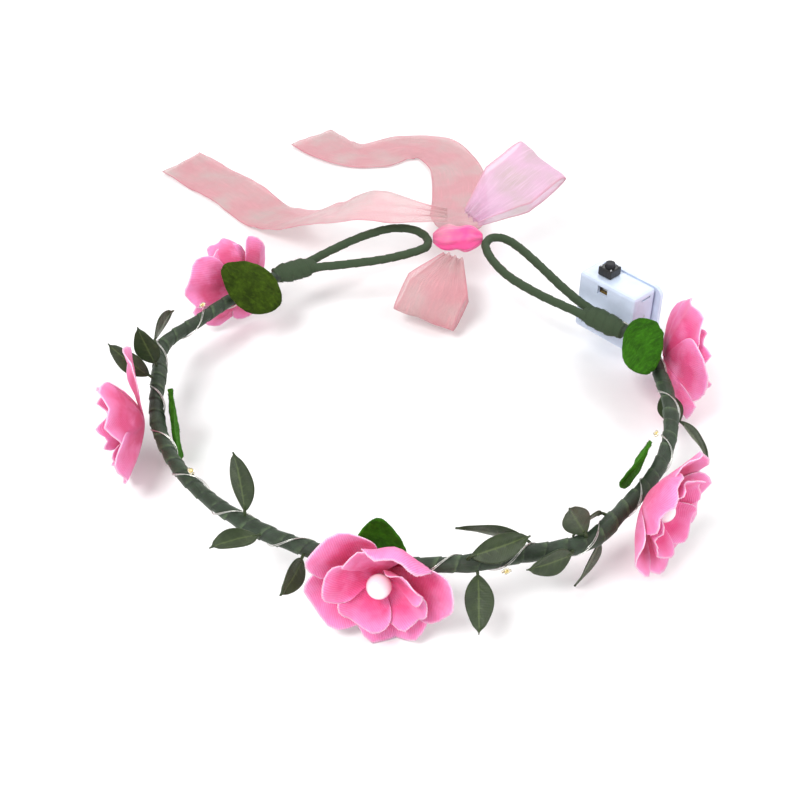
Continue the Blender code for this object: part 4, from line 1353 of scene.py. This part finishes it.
class CROWN_OT_light_beads(bpy.types.Operator):
    """Mould one resin bead over its chip and put a copy at each light"""
    bl_idname = "crown.mould_light_beads"
    bl_label = "Light Beads"
    bl_options = OPTIONS

    def execute(self, context):
        resin = clear_resin()
        chip_paint = moulded_plastic("led_chip", paint(240, 214, 96), 0.35, 0.01 * MM)
        model = start_by_hand(
            bpy.ops.mesh.primitive_uv_sphere_add, "bead_model",
            segments=24, ring_count=16, radius=0.9 * MM,
        )
        edit_faces(model, lambda middle, normal: abs(normal.z) > 0.93)
        bpy.ops.mesh.extrude_region_shrink_fatten(TRANSFORM_OT_shrink_fatten={"value": 0.25 * MM})
        bpy.ops.mesh.select_all(action="SELECT")
        bpy.ops.transform.resize(value=(1.0, 1.0, 1.25))
        put_down()
        model.data.shade_smooth()
        chip = start_by_hand(bpy.ops.mesh.primitive_cube_add, "chip_model", size=0.7 * MM)
        edit_faces(chip, lambda middle, normal: True)
        bpy.ops.transform.resize(value=(0.5, 1.0, 1.3))
        bpy.ops.mesh.bevel(offset=0.06 * MM, segments=2, affect="EDGES")
        put_down()
        for piece in (model, chip):
            settle(piece, Matrix.Identity(4))
        for number, angle in enumerate(LED_ANGLES, start=1):
            node = f"led_{number}"
            low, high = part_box(node)
            middle = (low + high) / 2
            off = (middle - band_point(angle)).normalized()
            turn = axes_matrix(middle, off, band_axes(angle)[0])
            for source, name, finish, nodes in (
                (model, f"led_{number}_bead", resin, (node,)),
                (chip, f"led_{number}_chip", chip_paint, ()),
            ):
                made = copy_of(source, name)
                made.data.transform(turn)
                hand_over(made, finish, "led_resin", *nodes)
        for source in (model, chip):
            bpy.data.objects.remove(source)
        return {"FINISHED"}


# ---------------------------------------------------------------- battery box

class CROWN_OT_battery_box(bpy.types.Operator):
    """Finish the moulded case, its cover and what they hold"""
    bl_idname = "crown.finish_battery_box"
    bl_label = "Battery Box"
    bl_options = OPTIONS

    def execute(self, context):
        settings = context.scene.crown_box
        shell = moulded_plastic("white_plastic", tuple(settings.shell), 0.32, settings.texture)
        steel = bare_metal("cell_steel", paint(196, 196, 192), 0.28)
        brass = bare_metal("contact_brass", paint(206, 172, 104), 0.3)
        finishes = {
            "battery_case": shell, "battery_cover": shell,
            "coin_cell_1": steel, "coin_cell_2": steel,
            "contact_plate": brass, "contact_spring": brass, "circuit_board": solder_mask(),
            "switch_base": moulded_plastic(
                "black_plastic", tuple(settings.switch), 0.38, settings.texture
            ),
            "core_wire": bare_metal("core_steel", paint(150, 150, 148), 0.4),
        }
        for name, finish in finishes.items():
            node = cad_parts[name]
            for slot in node.material_slots:
                slot.material = finish
        return {"FINISHED"}


class CROWN_OT_switch(bpy.types.Operator):
    """Turn the round plunger and rivet the corners of the switch"""
    bl_idname = "crown.make_switch"
    bl_label = "Switch"
    bl_options = OPTIONS

    def execute(self, context):
        black = bpy.data.materials["black_plastic"]
        low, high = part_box("power_button")
        middle = (low + high) / 2
        height = high.z - low.z
        plunger = start_by_hand(
            bpy.ops.mesh.primitive_cylinder_add, "switch_plunger", vertices=40,
            radius=(high.x - low.x) / 2, depth=height, location=middle,
        )
        edit_faces(plunger, lambda spot, normal: normal.z > 0.9)
        bpy.ops.mesh.inset(thickness=0.25 * MM)
        bpy.ops.transform.translate(value=(0, 0, 0.12 * MM))
        bpy.ops.mesh.inset(thickness=0.7 * MM)
        bpy.ops.transform.translate(value=(0, 0, -0.08 * MM))
        put_down()
        plunger.data.shade_smooth()
        plunger.data.set_sharp_from_angle(angle=math.radians(50))
        settle(plunger, Matrix.Identity(4))
        hand_over(plunger, black, "black_plastic", "power_button", body="power_button")
        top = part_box("switch_base")[1].z
        rivet_steel = bare_metal("rivet_steel", paint(168, 168, 170), 0.3)
        model = start_by_hand(
            bpy.ops.mesh.primitive_cylinder_add, "rivet_model", vertices=20, radius=0.42 * MM,
            depth=0.4 * MM, location=(0, 0, 0.1 * MM),
        )
        edit_faces(model, lambda spot, normal: normal.z > 0.9)
        bpy.ops.mesh.inset(thickness=0.14 * MM)
        bpy.ops.transform.translate(value=(0, 0, 0.1 * MM))
        put_down()
        settle(model, Matrix.Identity(4))
        place = case_place()
        for number, (x, y) in enumerate(((-1, -1), (-1, 1), (1, -1), (1, 1)), start=1):
            spot = Vector((SWITCH_OFFSET + x * RIVET_STEP, CASE_DEPTH / 2 + y * RIVET_STEP, 0))
            spot = place @ spot
            rivet = copy_of(model, f"switch_rivet_{number}")
            rivet.data.transform(Matrix.Translation((spot.x, spot.y, top)))
            hand_over(rivet, rivet_steel, "black_plastic")
        bpy.data.objects.remove(model)
        return {"FINISHED"}


# ---------------------------------------------------------------- ribbon

RIBBON_COLUMNS = 20


def knot_middle():
    low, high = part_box("bow_knot")
    return (low + high) / 2


def from_knot(x, y, height):
    knot = knot_middle()
    return Vector((knot.x + x * MM, knot.y + y * MM, TABLE_HEIGHT + height * MM))


def ribbon_piece(name, middles, acrosses, shares, settings, seed):
    """A strip of ribbon, pleated where it is narrow and gently crinkled elsewhere."""
    rows = len(middles) - 1
    reached = [0.0]
    for start, end in zip(middles, middles[1:]):
        reached.append(reached[-1] + (end - start).length)
    width = settings.width
    rise_at = []
    for i in range(rows + 1):
        forward = (middles[min(i + 1, rows)] - middles[max(i - 1, 0)]).normalized()
        rise_at.append(forward.cross(acrosses[i]).normalized())

    def place_at(i, j):
        side = 2 * j / RIBBON_COLUMNS - 1
        gathered = 1.0 - shares[i]
        aside = side * width / 2 * shares[i]
        pleat = math.sin(side * 9.5 + seed) * 1.6 * MM * gathered
        wave = noise.noise(Vector((reached[i] * 55, side * 1.2, seed)))
        wave += 0.45 * noise.noise(Vector((reached[i] * 150, side * 3.0, seed + 5)))
        lip = side * side * 0.5 * MM * noise.noise(Vector((reached[i] * 90, side * 0.5, seed + 9)))
        lift = (pleat + settings.crinkle * wave * (0.35 + 0.65 * shares[i]) + lip)
        return middles[i] + acrosses[i] * aside + rise_at[i] * lift

    strip = Draft()
    strip.grid(
        rows, RIBBON_COLUMNS, place_at,
        lambda i, j: (reached[i], width * (j / RIBBON_COLUMNS - 0.5)),
        lambda i, j: abs(2 * j / RIBBON_COLUMNS - 1),
    )
    piece = strip.piece(name)
    thicken(piece, settings.thickness)
    return piece, reached[-1]


def tail(name, stations, settings, seed):
    fine = smooth_route([from_knot(*spot) for spot, across, share in stations], 20)
    acrosses = smooth_route([Vector(across).normalized() for spot, across, share in stations], 20)
    shares = smooth_route([Vector((share, 0, 0)) for spot, across, share in stations], 20)
    return ribbon_piece(
        name, fine, [across.normalized() for across in acrosses], [min(1.0, s.x) for s in shares],
        settings, seed,
    )


def bow_loop(name, near, far, across, settings, seed):
    near, far = from_knot(*near), from_knot(*far)
    run = far - near
    side = Vector(across)
    side = (side - run * (side.dot(run) / run.length_squared)).normalized()
    rise = run.cross(side).normalized()
    middles, shares = [], []
    for i in range(91):
        turn = (0.05 + 0.9 * i / 90) * FULL_TURN
        reach = (1 - math.cos(turn)) / 2
        swell = math.sin(turn) * BOW_THICKNESS / 2 * (0.3 + 0.7 * reach)
        middles.append(near + run * reach + rise * swell)
        shares.append(min(1.0, 0.3 + 1.4 * reach))
    return ribbon_piece(name, middles, [side] * 91, shares, settings, seed)


class CROWN_OT_ribbon(bpy.types.Operator):
    """Gather the organza ribbon into two bow loops and two tails"""
    bl_idname = "crown.tie_ribbon"
    bl_label = "Ribbon Bow"
    bl_options = OPTIONS

    def execute(self, context):
        settings = context.scene.crown_ribbon
        dusty = organza("organza", tuple(settings.colour), settings.cover)
        lilac = organza("lilac_organza", tuple(settings.bow), settings.cover + 0.05)
        # The lower bow loop's organza has painted glints.
        glinting_ribbon = organza("glinting_organza", tuple(settings.colour), settings.cover, glint_strength=0.9)
        pieces = (
            ("ribbon_tail_up_cloth", tail, (TAIL_UP,), dusty, "laid", "ribbon_tail_up"),
            ("ribbon_tail_left_cloth", tail, (TAIL_LEFT,), dusty, "laid", "ribbon_tail_left"),
            ("bow_loop_right_cloth", bow_loop, BOW_RIGHT, lilac, "folded", "bow_loop_right"),
            ("bow_loop_lower_cloth", bow_loop, BOW_LOWER, glinting_ribbon, "folded", "bow_loop_lower"),
        )
        for seed, (name, maker, shape, finish, held, node) in enumerate(pieces):
            piece, length = maker(name, *shape, settings, 3.0 + seed)
            hand_over(piece, finish, "organza", node)
        return {"FINISHED"}


class CROWN_OT_knot(bpy.types.Operator):
    """Wrap the gathered knot that ties the two end loops together"""
    bl_idname = "crown.tie_knot"
    bl_label = "Ribbon Knot"
    bl_options = OPTIONS

    def execute(self, context):
        settings = context.scene.crown_ribbon
        low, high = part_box("bow_knot")
        middle = (low + high) / 2
        half = (high - low) / 2
        rows, columns = 40, 48

        def place_at(i, j):
            share = i / rows
            turn = FULL_TURN * j / columns
            ring = max(math.sin(math.pi * (0.04 + 0.92 * share)), 0.0) ** 0.6
            pleat = 1.0 + 0.09 * math.sin(turn * 7 + 3 * share) + 0.12 * noise.noise(
                Vector((math.cos(turn) * 1.6, math.sin(turn) * 1.6, share * 4))
            )
            waist = 1.0 - 0.22 * math.exp(-((share - 0.5) / 0.14) ** 2)
            return middle + Vector((
                half.x * (2 * share - 1),
                half.y * ring * pleat * waist * math.cos(turn),
                half.z * ring * pleat * waist * math.sin(turn),
            ))

        wrap = Draft()
        wrap.grid(
            rows, columns, place_at, lambda i, j: (i / rows * 0.02, j / columns * 0.04),
            lambda i, j: 0.2, around=True,
        )
        knot = wrap.piece("bow_knot_wrap", outward=True)
        finish = organza("knot_ribbon", tuple(settings.knot), 0.8)
        hand_over(knot, finish, "knot_ribbon", "bow_knot")
        return {"FINISHED"}


# ---------------------------------------------------------------- stage

class CROWN_OT_stage(bpy.types.Operator):
    """Lay the pale floor, hang the soft lights and set up the camera"""
    bl_idname = "crown.set_stage"
    bl_label = "Stage"
    bl_options = OPTIONS

    def execute(self, context):
        settings = context.scene.crown_stage
        floor = start_by_hand(
            bpy.ops.mesh.primitive_plane_add, "floor",
            size=6.0, location=(0, 0, CAD_BOX[0][2] - 0.3 * MM),
        )
        finish = Finish("pale_floor")
        grain = finish.cloud(finish.object_place(), 90.0, 3.0)
        finish.set(
            Base_Color=finish.blend(
                finish.remap(grain, 0.3, 0.7), tuple(settings.floor), paint(243, 243, 243)
            ),
            Roughness=0.9, Specular_IOR_Level=0.1,
        )
        floor.data.materials.append(finish.material)
        floor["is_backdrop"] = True
        world = bpy.data.worlds.new("soft_room")
        world.use_nodes = True
        sky = world.node_tree.nodes["Background"]
        sky.inputs["Color"].default_value = (1.0, 1.0, 1.0, 1.0)
        sky.inputs["Strength"].default_value = settings.light
        context.scene.world = world
        context.scene.view_settings.view_transform = "Standard"
        lamps = (
            ("key_light", (-0.35, -0.45, 0.75), 0.4, 6.5),
            ("fill_light", (0.6, -0.2, 0.5), 0.6, 2.5),
            ("back_light", (0.1, 0.7, 0.6), 0.5, 2.5),
        )
        for name, spot, size, power in lamps:
            light = bpy.data.lights.new(name, "AREA")
            light.shape = "DISK"
            light.size = size
            light.energy = power
            lamp = bpy.data.objects.new(name, light)
            lamp.location = spot
            lamp.rotation_euler = Vector(spot).to_track_quat("Z", "Y").to_euler()
            context.scene.collection.objects.link(lamp)
        aim = Vector((-3.9, -5.8, 0.0)) * MM
        height = math.radians(39.0)
        away = Vector((0.0, -math.cos(height), math.sin(height)))
        lens = bpy.data.cameras.new("camera")
        lens.lens = 54.0
        lens.sensor_width = 36.0
        lens.clip_start = 0.01
        camera = bpy.data.objects.new("camera", lens)
        camera.location = aim + away * 0.4
        camera.rotation_euler = away.to_track_quat("Z", "Y").to_euler()
        context.scene.collection.objects.link(camera)
        context.scene.camera = camera
        return {"FINISHED"}


# ---------------------------------------------------------------- add-on

OPERATORS = (
    CROWN_OT_tape, CROWN_OT_end_loops, CROWN_OT_bindings, CROWN_OT_flowers, CROWN_OT_pearls,
    CROWN_OT_felt_leaves, CROWN_OT_satin_leaves, CROWN_OT_light_wire, CROWN_OT_light_beads,
    CROWN_OT_battery_box, CROWN_OT_switch, CROWN_OT_knot, CROWN_OT_ribbon, CROWN_OT_stage,
)
SETTINGS = {
    "crown_tape": CrownTapeSettings, "crown_petals": CrownPetalSettings,
    "crown_leaves": CrownLeafSettings, "crown_lights": CrownLightSettings,
    "crown_box": CrownBoxSettings, "crown_ribbon": CrownRibbonSettings,
    "crown_stage": CrownStageSettings,
}


class CROWN_PT_sidebar(bpy.types.Panel):
    """Sizes and colours of the crown, and a button for each piece"""
    bl_idname = "CROWN_PT_sidebar"
    bl_label = "Flower Crown"
    bl_space_type = "VIEW_3D"
    bl_region_type = "UI"
    bl_category = "Flower Crown"

    def draw(self, context):
        for operator in OPERATORS:
            self.layout.operator(operator.bl_idname)
        for name, group in SETTINGS.items():
            box = self.layout.box()
            box.label(text=name.replace("_", " ").title())
            for setting in group.__annotations__:
                box.prop(getattr(context.scene, name), setting)


CLASSES = (*SETTINGS.values(), *OPERATORS, CROWN_PT_sidebar)


def register():
    for made in CLASSES:
        bpy.utils.register_class(made)
    for name, group in SETTINGS.items():
        setattr(bpy.types.Scene, name, bpy.props.PointerProperty(type=group))


def unregister():
    for name in SETTINGS:
        delattr(bpy.types.Scene, name)
    for made in reversed(CLASSES):
        bpy.utils.unregister_class(made)


def main():
    register()
    for operator in OPERATORS:
        group, name = operator.bl_idname.split(".")
        getattr(getattr(bpy.ops, group), name)()
    boxes = {"cad": CAD_BOX, "looks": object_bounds()}
    sizes = {name: [list(corner) for corner in box] for name, box in boxes.items()}


if __name__ == "__main__":
    main()
